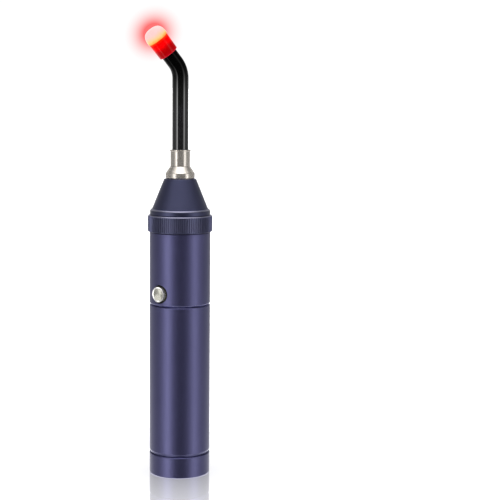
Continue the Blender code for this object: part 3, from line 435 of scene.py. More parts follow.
EMITTER = Finish(Slot.EMITTER, (0.75, 0.06, 0.04), (0.9, 0.12, 0.08), 0.1, 0.2, grain=2500.0, coat=0.6)
LEAD = Finish(Slot.LEAD, (0.42, 0.012, 0.012), (0.5, 0.02, 0.02), 0.35, 0.5)


class Span(NamedTuple):
    """Levels and radius of an upright CAD node."""

    low: float
    high: float
    radius: float


def span(node: str) -> Span:
    """Measure an upright CAD node."""
    low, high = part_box(node)
    return Span(low.z, high.z, (high.x - low.x) / 2)


class Corner(NamedTuple):
    """A corner of a turned outline, and the radius that rounds it."""

    radius: float
    height: float
    rounding: float = 0.0

    @property
    def point(self) -> Vector:
        """The corner as a vector."""
        return Vector((self.radius, self.height))


@dataclass(frozen=True)
class Lathe:
    """Turns an outline round Z into a closed mesh."""

    sides: int = BODY_SIDES

    def rounded(self, corners: Sequence[Corner]) -> list[Vector]:
        """Put an arc in place of each corner that is rounded.

        Args:
            corners: The outline, closed unless it starts on the axis.

        Returns:
            The points.
        """
        ends = (0, len(corners) - 1) if corners[0].radius == 0 else ()
        points: list[Vector] = []
        for number, corner in enumerate(corners):
            here = corner.point
            if corner.rounding == 0 or number in ends:
                points.append(here)
                continue
            back = (corners[number - 1].point - here).normalized()
            ahead = (corners[(number + 1) % len(corners)].point - here).normalized()
            half = back.angle(ahead) / 2
            centre = here + (back + ahead).normalized() * corner.rounding / math.sin(half)
            reach = corner.rounding / math.tan(half)
            start = here + back * reach - centre
            end = here + ahead * reach - centre
            first = math.atan2(start.y, start.x)
            turn = (math.atan2(end.y, end.x) - first + math.pi) % math.tau - math.pi
            for step in range(ARC_STEPS + 1):
                angle = first + turn * step / ARC_STEPS
                points.append(centre + Vector((math.cos(angle), math.sin(angle))) * corner.rounding)
        return points

    def mesh(self, name: str, corners: Corners) -> Mesh:
        """Turn an outline, with supporting points beside its corners.

        Args:
            name: The mesh's name.
            corners: Radius, height and rounding of each corner, closed unless it starts on the axis.

        Returns:
            The closed mesh.
        """
        closed = corners[0][0] > 0
        rounded = self.rounded([Corner(*corner) for corner in corners])
        points: list[Vector] = []
        pairs = list(zip(rounded, rounded[1:] + rounded[:1]))
        for start, end in pairs if closed else pairs[:-1]:
            points.append(start)
            run = end - start
            if run.length > SHORTEST_RUN:
                points += [start + run.normalized() * SUPPORT, end - run.normalized() * SUPPORT]
        bm = bmesh.new()
        rings = []
        for point in points if closed else points + [rounded[-1]]:
            angles = [math.tau * side / self.sides for side in range(self.sides if point.x > ON_AXIS else 1)]
            places = [(point.x * math.cos(angle), point.x * math.sin(angle), point.y) for angle in angles]
            rings.append([bm.verts.new(place) for place in places])
        skin(bm, rings + rings[:1] if closed else rings)
        return to_mesh(name, bm)


def skin(bm: bmesh.types.BMesh, rings: Sequence[Sequence[bmesh.types.BMVert]]) -> None:
    """Add the faces from each ring to the next, a ring of one point being a pole.

    Args:
        bm: The mesh.
        rings: Rings of equal counts, or poles.
    """
    for lower, upper in zip(rings, rings[1:]):
        count = max(len(lower), len(upper))
        for i in range(count):
            j = (i + 1) % count
            corners = [lower[i % len(lower)], lower[j % len(lower)]]
            corners += [upper[j % len(upper)], upper[i % len(upper)]]
            bm.faces.new(list(dict.fromkeys(corners)))


def smooth(mesh: Mesh) -> Mesh:
    """Shade a mesh smooth, with its sharp edges kept.

    Args:
        mesh: The mesh.

    Returns:
        The same mesh.
    """
    mesh.shade_smooth()
    mesh.set_sharp_from_angle(angle=SHARP_ANGLE)
    return mesh


def to_mesh(name: str, bm: bmesh.types.BMesh) -> Mesh:
    """Finish a bmesh: faces outwards, smooth, with sharp edges kept.

    Args:
        name: The mesh's name.
        bm: The bmesh, freed here.

    Returns:
        The mesh.
    """
    bmesh.ops.recalc_face_normals(bm, faces=bm.faces)
    mesh = bpy.data.meshes.new(name)
    bm.to_mesh(mesh)
    bm.free()
    return smooth(mesh)


def link(name: str, data: bpy.types.ID) -> Piece:
    """Put some data in the scene as an object.

    Args:
        name: The object's name.
        data: A mesh, a light or a camera.

    Returns:
        The object.
    """
    made = bpy.data.objects.new(name, data)
    bpy.context.scene.collection.objects.link(made)
    return made


def evaluated(holder: Piece) -> Mesh:
    """Take the mesh that an object's modifiers leave.

    Args:
        holder: The object, removed here.

    Returns:
        The mesh.
    """
    graph = bpy.context.evaluated_depsgraph_get()
    mesh = bpy.data.meshes.new_from_object(holder.evaluated_get(graph))
    bpy.data.objects.remove(holder)
    return mesh


def bored(mesh: Mesh, radius: float, length: float, place: Matrix, sides: int) -> Mesh:
    """Drill a round hole into a closed mesh.

    Args:
        mesh: The mesh.
        radius: The hole's radius.
        length: How far the drill reaches.
        place: Where the drill starts, its Z along the hole.
        sides: Points round the hole.

    Returns:
        The drilled mesh.
    """
    drill = Lathe(sides).mesh("drill", square(0.0, radius, 0.0, length))
    drill.transform(place)
    tool = link("drill", drill)
    holder = link("drilled", mesh)
    cut = holder.modifiers.new("cut", "BOOLEAN")
    cut.operation = "DIFFERENCE"
    cut.object = tool
    result = evaluated(holder)
    bpy.data.objects.remove(tool)
    return smooth(result)


def add_piece(
    name: str,
    mesh: Mesh,
    finish: Finish | Glow,
    body: str,
    nodes: Sequence[str] = (),
    own_frame: Matrix | None = None,
) -> Piece:
    """Put a finished mesh in the scene on its body.

    Args:
        name: The piece's name, and its material's.
        mesh: Its mesh, in the frame's axes.
        finish: Its finish.
        body: The body it rides on.
        nodes: The CAD nodes it stands for.
        own_frame: The piece's own axes, if its finish follows them.

    Returns:
        The piece.
    """
    piece = link(name, mesh)
    mesh.materials.clear()
    mesh.materials.append(finish.material(name, own_frame))
    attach(piece, body)
    if nodes:
        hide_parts(*nodes)
    log.info("%s rides on %s, %d faces", name, body, len(mesh.polygons))
    return piece


def turned(
    name: str,
    corners: Corners,
    finish: Finish | Glow,
    body: str,
    node: str,
    sides: int = BODY_SIDES,
    place: Matrix | None = None,
) -> Piece:
    """Turn a piece and put it on its body.

    Args:
        name: The piece's name.
        corners: Its outline.
        finish: Its finish.
        body: The body it rides on.
        node: The CAD node it stands for.
        sides: Points round it.
        place: Its own axes, or None where it is turned round the wand's Z.

    Returns:
        The piece.
    """
    mesh = Lathe(sides).mesh(name, corners)
    if place is not None:
        mesh.transform(place)
    return add_piece(name, mesh, finish, body, [node], place)


def refinish(piece: Piece, finish: Finish, pick: Pick, own_frame: Matrix | None = None) -> None:
    """Give some faces of a piece a finish of their own.

    Args:
        piece: The piece.
        finish: The finish.
        pick: Says by a face's centre whether it takes the finish.
        own_frame: The piece's own axes, if the finish follows them.
    """
    materials = piece.data.materials
    materials.append(finish.material(f"{piece.name}_{len(materials)}", own_frame))
    for face in piece.data.polygons:
        if pick(face.center):
            face.material_index = len(materials) - 1


def edge(inside: float, low: float, high: float) -> Pick:
    """Pick the faces outside a radius and between two levels."""
    return lambda centre: low < centre.z < high and centre.xy.length > inside


def square(start: float, end: float, low: float, high: float, rounding: float = 0.0) -> Corners:
    """Four corners: from one radius to another at one level, and back at another level."""
    corners = (start, low), (end, low), (end, high), (start, high)
    return [(radius, level, rounding) for radius, level in corners]


class PatternTree(Wiring):
    """A Geometry Nodes tree with named inputs, evaluated into one plain mesh."""

    def __init__(self, name: str, lengths: Sequence[str], counts: Sequence[str]) -> None:
        """Start a tree.

        Args:
            name: Its name.
            lengths: Names of its inputs that take a number.
            counts: Names of its inputs that take a whole number.
        """
        super().__init__(bpy.data.node_groups.new(name, "GeometryNodeTree"))
        self.entry = self.node("NodeGroupInput")
        kinds = {"Material": "NodeSocketMaterial", **dict.fromkeys(lengths, "NodeSocketFloat")}
        kinds.update(dict.fromkeys(counts, "NodeSocketInt"))
        face = self.tree.interface
        face.new_socket("Geometry", in_out="OUTPUT", socket_type="NodeSocketGeometry")
        self.identifiers = {
            label: face.new_socket(label, in_out="INPUT", socket_type=kind).identifier
            for label, kind in kinds.items()
        }

    def value(self, name: str) -> Socket:
        """The named input as a source."""
        return self.entry.outputs[name]

    def ring(self, count: str, radius: str) -> Socket:
        """A ring of points, by the names of its two inputs."""
        circle = {"Vertices": self.value(count), "Radius": self.value(radius)}
        return self.node("GeometryNodeMeshCircle", circle).outputs[0]

    def column(self, sides: int, radius: str, height: str) -> Socket:
        """An upright column, by its sides and the names of its two inputs."""
        shape = {"Vertices": sides, "Radius": self.value(radius), "Depth": self.value(height)}
        return self.node("GeometryNodeMeshCylinder", shape).outputs["Mesh"]

    def join(self, *parts: Socket) -> Socket:
        """Join geometries.

        Args:
            parts: The geometries.

        Returns:
            All of them as one.
        """
        made = self.node("GeometryNodeJoinGeometry")
        for part in parts:
            self.feed(made.inputs[0], part)
        return made.outputs[0]

    def close(self, geometry: Socket) -> None:
        """End the tree: realize what it holds and give it the material.

        Args:
            geometry: The pattern.
        """
        real = self.node("GeometryNodeRealizeInstances", {"Geometry": geometry}).outputs[0]
        dress = {"Geometry": real, "Material": self.value("Material")}
        self.node("NodeGroupOutput", {0: self.node("GeometryNodeSetMaterial", dress).outputs[0]})

    def bake(self, name: str, values: Mapping[str, float], level: float) -> Mesh:
        """Evaluate the tree into a plain mesh.

        Args:
            name: The mesh's name.
            values: The inputs by name.
            level: How far up the mesh goes.

        Returns:
            The mesh, with the modifier gone.
        """
        holder = link(name, bpy.data.meshes.new(name + "_seed"))
        modifier = holder.modifiers.new("pattern", "NODES")
        modifier.node_group = self.tree
        for key, value in values.items():
            modifier[self.identifiers[key]] = value
        bm = bmesh.new()
        bm.from_mesh(evaluated(holder))
        mesh = to_mesh(name, bm)
        mesh.transform(Matrix.Translation((0, 0, level)))
        return mesh


class WoundWire(PatternTree):
    """A wire wound on a helix: a spring with a round wire, a screw thread with a four-sided one."""

    def __init__(self) -> None:
        """Build the tree."""
        lengths = ("Coil Radius", "Length", "Turns", "Wire Radius")
        super().__init__("wound_wire", lengths, ("Points", "Wire Sides"))
        coil, turns = self.value("Coil Radius"), self.value("Turns")
        path = {"Rotations": turns, "Start Radius": coil, "End Radius": coil, "Height": self.value("Length")}
        path["Resolution"] = self.sum("DIVIDE", self.value("Points"), turns)
        spiral = self.node("GeometryNodeCurveSpiral", path).outputs[0]
        upright = self.node("GeometryNodeSetCurveNormal", {"Curve": spiral}, mode="Z_UP").outputs[0]
        section = {"Resolution": self.value("Wire Sides"), "Radius": self.value("Wire Radius")}
        wire = self.node("GeometryNodeCurvePrimitiveCircle", section).outputs["Curve"]
        sweep = {"Curve": upright, "Profile Curve": wire, "Fill Caps": True}
        self.close(self.node("GeometryNodeCurveToMesh", sweep).outputs[0])

    def wind(
        self, name: str, coil: Span, turns: float, wire: float, points: int, sides: int
    ) -> Mesh:
        """Wind one wire.

        Args:
            name: The mesh's name.
            coil: The levels and the radius that the wire's middle runs between and on.
            turns: How often it goes round.
            wire: The wire's radius.
            points: Points in each turn.
            sides: Points round the wire.

        Returns:
            The mesh.
        """
        values = {"Coil Radius": coil.radius, "Length": coil.high - coil.low, "Turns": turns}
        values.update({"Wire Radius": wire, "Points": round(points * turns), "Wire Sides": sides})
        return self.bake(name, values, coil.low)


class RidgeRing(PatternTree):
    """Upright ridges set round a ring, each a four-sided prism with one edge outwards."""

    def __init__(self) -> None:
        """Build the tree."""
        super().__init__("ridge_ring", ("Ring Radius", "Ridge Radius", "Ridge Height"), ("Ridges",))
        ridges = self.value("Ridges")
        ring = self.ring("Ridges", "Ring Radius")
        prism = self.column(DIAMOND_SIDES, "Ridge Radius", "Ridge Height")
        share = self.sum("DIVIDE", self.node("GeometryNodeInputIndex").outputs[0], ridges)
        turn = self.node("ShaderNodeCombineXYZ", {"Z": self.sum("MULTIPLY", share, math.tau)}).outputs[0]
        rotation = self.node("FunctionNodeEulerToRotation", {"Euler": turn}).outputs[0]
        spread = {"Points": ring, "Instance": prism, "Rotation": rotation}
        self.close(self.node("GeometryNodeInstanceOnPoints", spread).outputs[0])


class EmitterCluster(PatternTree):
    """A middle emitter and a ring of others, each a flat base with a clear dome."""

    def __init__(self) -> None:
        """Build the tree."""
        lengths = ("Circle Radius", "Base Radius", "Base Height", "Dome Radius")
        super().__init__("emitters", lengths, ("Outer Count",))
        ring = self.ring("Outer Count", "Circle Radius")
        places = self.join(ring, self.node("GeometryNodeMeshLine", {"Count": 1}).outputs[0])
        base = self.column(EMITTER_SIDES, "Base Radius", "Base Height")
        ball = {"Segments": EMITTER_SIDES, "Rings": EMITTER_SIDES // 2, "Radius": self.value("Dome Radius")}
        both = self.join(base, self.node("GeometryNodeMeshUVSphere", ball).outputs["Mesh"])
        spread = self.node("GeometryNodeInstanceOnPoints", {"Points": places, "Instance": both})
        self.close(spread.outputs[0])


@dataclass(frozen=True)
class Thread:
    """A male screw thread on a spigot, and how many pitches it keeps clear of each end."""

    pitch: float = 0.001
    depth: float = 0.00032
    margin: float = 1.0

    def build(self, wound: WoundWire, name: str, root: float, low: float, high: float, body: str) -> None:
        """Wind the thread.

        Args:
            wound: The tree of wound wires.
            name: The piece's name.
            root: The spigot's radius.
            low: Where the spigot's free part starts.
            high: Where it ends.
            body: The body it rides on.
        """
        coil = Span(low + self.margin * self.pitch, high - self.margin * self.pitch, root)
        turns = (coil.high - coil.low) / self.pitch
        mesh = wound.wind(name, coil, turns, self.depth, BODY_SIDES, DIAMOND_SIDES)
        add_piece(name, mesh, ANODISED, body)


@dataclass(frozen=True)
class RubberRing:
    """A rubber ring of round section in its groove."""

    node: str
    body: str

    def build(self) -> None:
        """Turn the ring so that it fills the six-sided section of its CAD node."""
        box = span(self.node)
        section = (box.high - box.low) / 2 / math.sin(math.pi / 3)
        middle = (box.high + box.low) / 2
        corners = []
        for step in range(RUBBER_SIDES):
            angle = -math.tau * step / RUBBER_SIDES
            reach = box.radius - section + section * math.cos(angle)
            corners.append((reach, middle + section * math.sin(angle)))
        turned(self.node + "_rubber", corners, RUBBER, self.body, self.node)


@dataclass(frozen=True)
class TailCap:
    """Flat-based tail cap with its screw spigot and the lanyard hole."""

    chamfer: float = 0.00025
    base_round: float = 0.0005
    spigot: float = 0.0117
    groove: float = 0.0112
    groove_start: float = 0.0009
    groove_width: float = 0.0011
    cavity: float = 0.0096
    floor: float = 0.005
    hole_radius: float = 0.0011
    hole_height: float = 0.0023
    hole_depth: float = 0.004
    fine: float = 0.0001

    def build(self, wound: WoundWire) -> None:
        """Make the cap and its thread.

        Args:
            wound: The tree of wound wires.
        """
        top, radius = span("tail_cap")[1:]
        joint = span("battery_tube").low
        shoulder = joint - JOINT_LINE
        groove_low = joint + self.groove_start
        groove_high = groove_low + self.groove_width
        corners = [
            (0.0, 0.0),
            (radius, 0.0, self.base_round),
            (radius, shoulder - self.chamfer, self.fine),
            (radius - self.chamfer, shoulder, self.fine),
            (self.spigot, shoulder),
            *square(self.spigot, self.groove, groove_low, groove_high, self.fine),
            (self.spigot, top, 2 * self.fine),
            (self.cavity, top, self.fine),
            (self.cavity, self.floor),
            (0.0, self.floor),
        ]
        start = Matrix.Translation((0, radius - self.hole_depth, self.hole_height))
        place = start @ Matrix.Rotation(-math.pi / 2, 4, "X")
        mesh = Lathe().mesh("tail_cap_turned", corners)
        mesh = bored(mesh, self.hole_radius, self.hole_depth * 2, place, SMALL_SIDES)
        cap = add_piece("tail_cap_turned", mesh, ANODISED, "tail", ["tail_cap"])
        # The cap's top chamfer takes a darker colour: painted shade at the joint.
        refinish(cap, JOINT_TOP_PAINTED_SHADE, edge(self.spigot, shoulder - self.chamfer, shoulder))
        Thread().build(wound, "tail_thread", self.spigot, groove_high, top, "tail")


@dataclass(frozen=True)
class BatteryTube:
    """Plain tube round the cell, undercut at the tail's joint and chamfered at the head's."""

    chamfer: float = 0.00025
    undercut: float = 0.0007
    undercut_height: float = 0.0015
    fine: float = 0.0001
    mouth: float = 0.0123
    bore: float = 0.0097

    def build(self) -> None:
        """Make the tube."""
        low, high, radius = span("battery_tube")
        deep_low = span("tail_cap").high + JOINT_LINE
        deep_high = span("head_tube").low - JOINT_LINE
        corners = [
            (self.mouth, low, self.fine),
            (radius - self.undercut, low, self.fine),
            (radius, low + self.undercut_height, self.fine),
            (radius, high - self.chamfer, self.fine),
            (radius - self.chamfer, high, self.fine),
            (self.mouth, high),
            *square(self.mouth, self.bore, deep_high, deep_low),
        ]
        tube = turned("battery_tube_turned", corners, ANODISED, "barrel", "battery_tube")
        # The tube's top chamfer takes a darker colour: painted shade at the joint.
        refinish(tube, JOINT_TOP_PAINTED_SHADE, edge(self.mouth, high - self.chamfer, high))
        # The undercut at the tail joint takes a lighter colour: painted light.
        refinish(tube, TAIL_UNDERSIDE_PAINTED_LIGHT, edge(self.mouth, low, low + self.undercut_height))


@dataclass(frozen=True)
class HeadTube:
    """Head of the barrel: button hole, spigot below and threaded neck above."""

    undercut: float = 0.001
    fine: float = 0.0001
    spigot: float = 0.012
    spigot_bore: float = 0.0099
    bore: float = 0.0118
    neck: float = 0.01265
    neck_height: float = 0.0035
    thread_margin: float = 0.6
    hole_radius: float = 0.0043

    def build(self, wound: WoundWire) -> None:
        """Make the head tube and its neck thread.

        Args:
            wound: The tree of wound wires.
        """
        low, high, radius = span("head_tube")
        bottom = span("battery_tube").high + JOINT_LINE
        step = span("switch_holder").low - JOINT_LINE
        shoulder = high - self.neck_height
        corners = [
            (self.spigot_bore, low),
            (self.spigot, low, self.fine),
            (self.spigot, bottom),
            (radius - self.undercut, bottom, self.fine),
            (radius, bottom + self.undercut, self.fine),
            (radius, shoulder, 2 * self.fine),
            (self.neck, shoulder),
            (self.neck, high, self.fine),
            (self.bore, high, self.fine),
            (self.bore, step),
            (self.spigot_bore, step),
        ]
        button = span("button_cap")
        start = Matrix.Translation((0, -self.spigot_bore, (button.low + button.high) / 2))
        place = start @ Matrix.Rotation(math.pi / 2, 4, "X")
        mesh = bored(Lathe().mesh("head_tube_turned", corners), self.hole_radius, radius, place, BODY_SIDES)
        head = add_piece("head_tube_turned", mesh, ANODISED, "barrel", ["head_tube"])
        # The undercut above the middle joint takes a lighter colour: painted light.
        refinish(head, JOINT_UNDERSIDE_PAINTED_LIGHT, edge(self.spigot, bottom, bottom + self.undercut))
        thread = Thread(margin=self.thread_margin)
        thread.build(wound, "neck_thread", self.neck, shoulder, high, "barrel")


@dataclass(frozen=True)
class PushButton:
    """Turned metal button whose rim has a lighter colour, partly polished metal and partly a painted
    highlight, and the rubber ring round it.
    """

    rim: float = 0.0001
    rim_width: float = 0.00054
    dish: float = 0.0002
    bowl: float = 0.0002
    bowl_steps: int = 12
    flange_height: float = 0.00075
    seal_wall: float = 0.0007
    seal_gap: float = 0.00006
    fine: float = 0.00006

    def build(self) -> Piece:
        """Make the button and its ring.

        Returns:
            The button.
        """
        low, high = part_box("button_cap")
        face, back = -low.y, -high.y
        flange = (high.z - low.z) / 2
        seal_low, seal_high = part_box("button_seal")
        outer = (seal_high.z - seal_low.z) / 2
        radius = outer - self.seal_wall
        inner = radius - self.rim - self.rim_width
        corners = [
            (0.0, back),
            (flange, back, self.fine),
            (flange, back + self.flange_height, self.fine),
            (radius, back + self.flange_height),
            (radius, face - self.rim, self.fine),
            (radius - self.rim, face, self.fine),
        ]
        for step in range(self.bowl_steps + 1):
            share = 1 - step / self.bowl_steps
            corners.append((inner * share, face - self.dish - self.bowl * (1 - share**2)))
        place = Matrix.Translation((0, 0, (low.z + high.z) / 2)) @ Matrix.Rotation(math.pi / 2, 4, "X")
        axis = place.translation
        button = turned("button_turned", corners, BRIGHT, "button", "button_cap", PIECE_SIDES, place)

        def on_rim(centre: Vector) -> bool:
            """Pick the faces of the rim."""
            return -centre.y > face - self.dish and (centre - axis).xz.length > inner

        # The rim takes a lighter colour: a painted highlight.
        refinish(button, BUTTON_RIM_PAINTED_HIGHLIGHT, on_rim, place)
        top, bottom = -seal_low.y, -seal_high.y
        radius, outer = radius + self.seal_gap, outer + self.seal_gap
        corners = [(radius, bottom), (outer, bottom), (outer, top, self.fine), (radius, top, self.fine)]
        turned("button_ring", corners, RUBBER, "barrel", "button_seal", PIECE_SIDES, place)
        return button


@dataclass(frozen=True)
class BezelRing:
    """Knurled ring: a turned core with upright ridges, a chamfer at each end and the lens flange inside."""

    root_depth: float = 0.0003
    chamfer: float = 0.0006
    chamfer_width: float = 0.00054
    fine: float = 0.00012
    neck_bore: float = 0.0133
    socket: float = 0.0126
    flange_bore: float = 0.0104
    flange_low: float = 0.0045
    flange_high: float = 0.0053
    ridges: int = 88
    ridge_radius: float = 0.00042

    def build(self) -> None:
        """Make the ring and its ridges."""
        low, high, radius = span("bezel_ring")
        root = radius - self.root_depth
        slope = self.chamfer / self.chamfer_width
        corners = [
            (self.neck_bore, low, self.fine),
            (root - self.fine, low, self.fine),
            (root, low + self.fine, self.fine / 2),
            (root, high - self.chamfer + self.root_depth * slope, self.fine / 2),
            (radius - self.chamfer_width, high, self.fine / 2),
            (self.socket, high, self.fine),
            (self.socket, low + self.flange_high),
            (self.flange_bore, low + self.flange_high, self.fine),
            (self.flange_bore, low + self.flange_low, self.fine),
            (self.neck_bore, low + self.flange_low),
        ]
        core = turned("bezel_core", corners, KNURLED, "bezel", "bezel_ring")
        # The ring's top chamfer takes a lighter colour: a painted highlight.
        refinish(core, BEZEL_PAINTED_HIGHLIGHT, edge(self.socket + self.fine, high - self.chamfer, high))
        height = high - low - self.fine * 2
        sizes = {"Ring Radius": radius - self.ridge_radius, "Ridge Radius": self.ridge_radius}
        sizes.update({"Ridge Height": height, "Ridges": self.ridges})
        mesh = RidgeRing().bake("bezel_ridges", sizes, low + self.fine * 2 + height / 2)
        for point in mesh.vertices:
            if point.co.z > low + height / 2:
                drop = (point.co.xy.length - radius + self.chamfer_width) * slope
                point.co.z = high - max(drop, self.fine)
        add_piece("bezel_ridges", mesh, KNURLED, "bezel")


@dataclass(frozen=True)
class NoseCone:
    """Push-on cone with its rounded lip, spigot, lens pocket and the bore for the ferrule."""

    lip_height: float = 0.00285
    lip_round: float = 0.0011
    # Where the painted highlight on the lip starts and ends, in shares of the rounding below the lip's top.
    highlight_from: float = 0.75
    highlight_to: float = 0.12
    lip_foot: float = 0.00035
    base_radius: float = 0.0129
    top_radius: float = 0.00735
    bore: float = 0.006
    bore_depth: float = 0.0106
    spigot: float = 0.0123
    groove: float = 0.0115
    pocket: float = 0.0108
    pocket_step: float = 0.001
    pocket_height: float = 0.0038
    lens_rim: float = 0.001
    lens_border: float = 0.0015
    lens_steps: int = 10
    retainer_width: float = 0.0013
    fine: float = 0.00012

    def build(self) -> None:
        """Make the cone, its lens and the ring that holds the lens."""
        low, high, radius = span("cone_adapter")
        joint = span("bezel_ring").high
        lip_high = joint + self.lip_height
        ring = span("cone_o_ring")
        corners = [
            (self.pocket, low, self.fine),
            (self.spigot, low, self.fine),
            *square(self.spigot, self.groove, ring.low - self.fine, ring.high + self.fine, self.fine / 2),
            (self.spigot, joint + JOINT_LINE),
            (radius, joint + JOINT_LINE, self.lip_foot),
            (radius, lip_high, self.lip_round),
            (self.base_radius, lip_high),
            (self.top_radius, high, self.fine * 2),
            (self.bore, high, self.fine),
            (self.bore, high - self.bore_depth),
            (self.pocket - self.pocket_step, low + self.pocket_height),
            (self.pocket, low + self.pocket_height),
        ]
        cone = turned("cone_turned", corners, DARK_ANODISED, "cone", "cone_adapter")
        # The lip's upper rounding takes a lighter colour: a painted highlight.
        levels = lip_high - self.lip_round * self.highlight_from, lip_high - self.lip_round * self.highlight_to
        refinish(cone, EDGE_PAINTED_HIGHLIGHT, edge(self.base_radius, *levels))
        self.lens()
        RubberRing("cone_o_ring", "cone").build()

    def lens(self) -> None:
        """Make the condenser lens and its retaining ring."""
        low, high, radius = span("condenser_lens")
        rim = high - self.lens_rim
        crown = radius - self.lens_border
        shares = [step / self.lens_steps for step in range(1, self.lens_steps)]
        curve = [(crown * share, rim - (rim - low) * (1 - share**2)) for share in shares]
        corners = [(0.0, low), *curve, (crown, rim), (radius, rim), (radius, high), (0.0, high)]
        turned("condenser_glass", corners, GLASS, "cone", "condenser_lens", PIECE_SIDES)
        low, high, outer = span("condenser_retainer")
        corners = square(outer - self.retainer_width, outer, low, high, self.fine)
        turned("retainer_ring", corners, NYLON, "cone", "condenser_retainer", PIECE_SIDES)


@dataclass(frozen=True)
class LightGuide:
    """Metal ferrule and the bent rod: a glossy black sheath round a clear core."""

    rod: float = 0.0037
    wall: float = 0.0007
    floor_width: float = 0.0008
    floor: float = 0.0005
    fine: float = 0.00012
    spigot: float = 0.0057
    groove: float = 0.0049
    flange_foot: float = 0.0003
    flange_height: float = 0.0023
    flange_round: float = 0.0007
    taper_height: float = 0.0032
    sleeve: float = 0.0045
    lip: float = 0.00028
    lip_height: float = 0.0006
    bend_level: float = 0.1836
    bend_radius: float = 0.0115
    bend_angle: float = math.radians(39)
    heading: float = math.radians(28)
    end: float = 0.0051
    grip: float = 0.0065
    bend_steps: int = 28
    straight_steps: int = 6

    def stations(self, bottom: float, end: float) -> list[tuple[Vector, Vector]]:
        """Centre and direction at each station of the rod.

        Args:
            bottom: Level of the rod's foot.
            end: Straight length past the bend.

        Returns:
            The stations from foot to end.
        """
        up = Vector((0, 0, 1))
        lean = Vector((-math.sin(self.heading), -math.cos(self.heading), 0))
        found = []
        for step in range(self.straight_steps):
            found.append((up * (bottom + (self.bend_level - bottom) * step / self.straight_steps), up))
        for step in range(self.bend_steps + 1):
            angle = self.bend_angle * step / self.bend_steps
            centre = up * (self.bend_level + self.bend_radius * math.sin(angle))
            centre += lean * self.bend_radius * (1 - math.cos(angle))
            found.append((centre, up * math.cos(angle) + lean * math.sin(angle)))
        centre, direction = found[-1]
        return found + [(centre + direction * run, direction) for run in (SUPPORT, end - SUPPORT, end)]

    def tip_frame(self) -> Matrix:
        """Find the tip's own axes.

        Returns:
            Where the tip's collar starts, its Z along the rod.
        """
        centre, direction = self.stations(0.0, self.end)[-1]
        turn = Vector((0, 0, 1)).rotation_difference(direction)
        return Matrix.Translation(centre) @ turn.to_matrix().to_4x4()

    def tube(self, name: str, outer: float, inner: float, sides: int) -> Mesh:
        """A tube or a solid rod along the stations.

        Args:
            name: The mesh's name.
            outer: Outer radius.
            inner: Inner radius, or 0 for a solid rod.
            sides: Points round it.

        Returns:
            The mesh.
        """
        bm = bmesh.new()
        side = Vector((math.cos(self.heading), -math.sin(self.heading), 0))
        route = self.stations(span("guide_sheath").low, self.end + self.grip)
        angles = [math.tau * number / sides for number in range(sides)]

        def ring(station: tuple[Vector, Vector], radius: float) -> list[bmesh.types.BMVert]:
            """Set the points of one ring.

            Args:
                station: Its centre and direction.
                radius: Its radius.

            Returns:
                The points.
            """
            centre, direction = station
            across = side.cross(direction)
            reaches = [side * math.cos(angle) + across * math.sin(angle) for angle in angles]
            return [bm.verts.new(centre + reach * radius) for reach in reaches]

        rings = [ring(station, outer) for station in route]
        if inner > 0:
            rings += [ring(station, inner) for station in reversed(route)]
            rings.append(rings[0])
        else:
            rings = [[bm.verts.new(route[0][0])], *rings, [bm.verts.new(route[-1][0])]]
        skin(bm, rings)
        return to_mesh(name, bm)

    def build(self) -> None:
        """Make the ferrule, its rubber ring, the sheath and the core."""
        low, high, flange = span("ferrule")
        joint = span("cone_adapter").high
        ring = span("ferrule_o_ring")
        flange_top = joint + self.flange_foot + self.flange_height
        bore = self.rod + JOINT_LINE
        foot = bore - self.floor_width
        corners = [
            (foot, low, self.fine),
            (self.spigot, low, self.fine * 2),
            *square(self.spigot, self.groove, ring.low - self.fine, ring.high + self.fine, self.fine / 2),
            (self.spigot, joint + JOINT_LINE),
            (flange, joint + JOINT_LINE, self.flange_round),
            (flange, flange_top, self.flange_round),
            (self.sleeve, flange_top + self.taper_height, self.flange_round),
            (self.sleeve, high - self.lip_height, self.fine),
            (self.sleeve + self.lip, high - self.lip_height, self.fine / 2),
            (self.sleeve + self.lip, high, self.fine),
            (bore, high, self.fine),
            (bore, low + self.floor),
            (foot, low + self.floor),
        ]
        turned("ferrule_turned", corners, NICKEL, "light_guide", "ferrule")
        RubberRing("ferrule_o_ring", "guide_seal").build()
        inner = self.rod - self.wall
        sheath = self.tube("rod_sheath", self.rod, inner, SMALL_SIDES)
        add_piece("rod_sheath", sheath, SHEATH, "light_guide", ["guide_sheath"])
        core = self.tube("rod_core", inner - JOINT_LINE, 0.0, CORE_SIDES)
        add_piece("rod_core", core, FIBRE, "light_guide", ["fibre_core"])


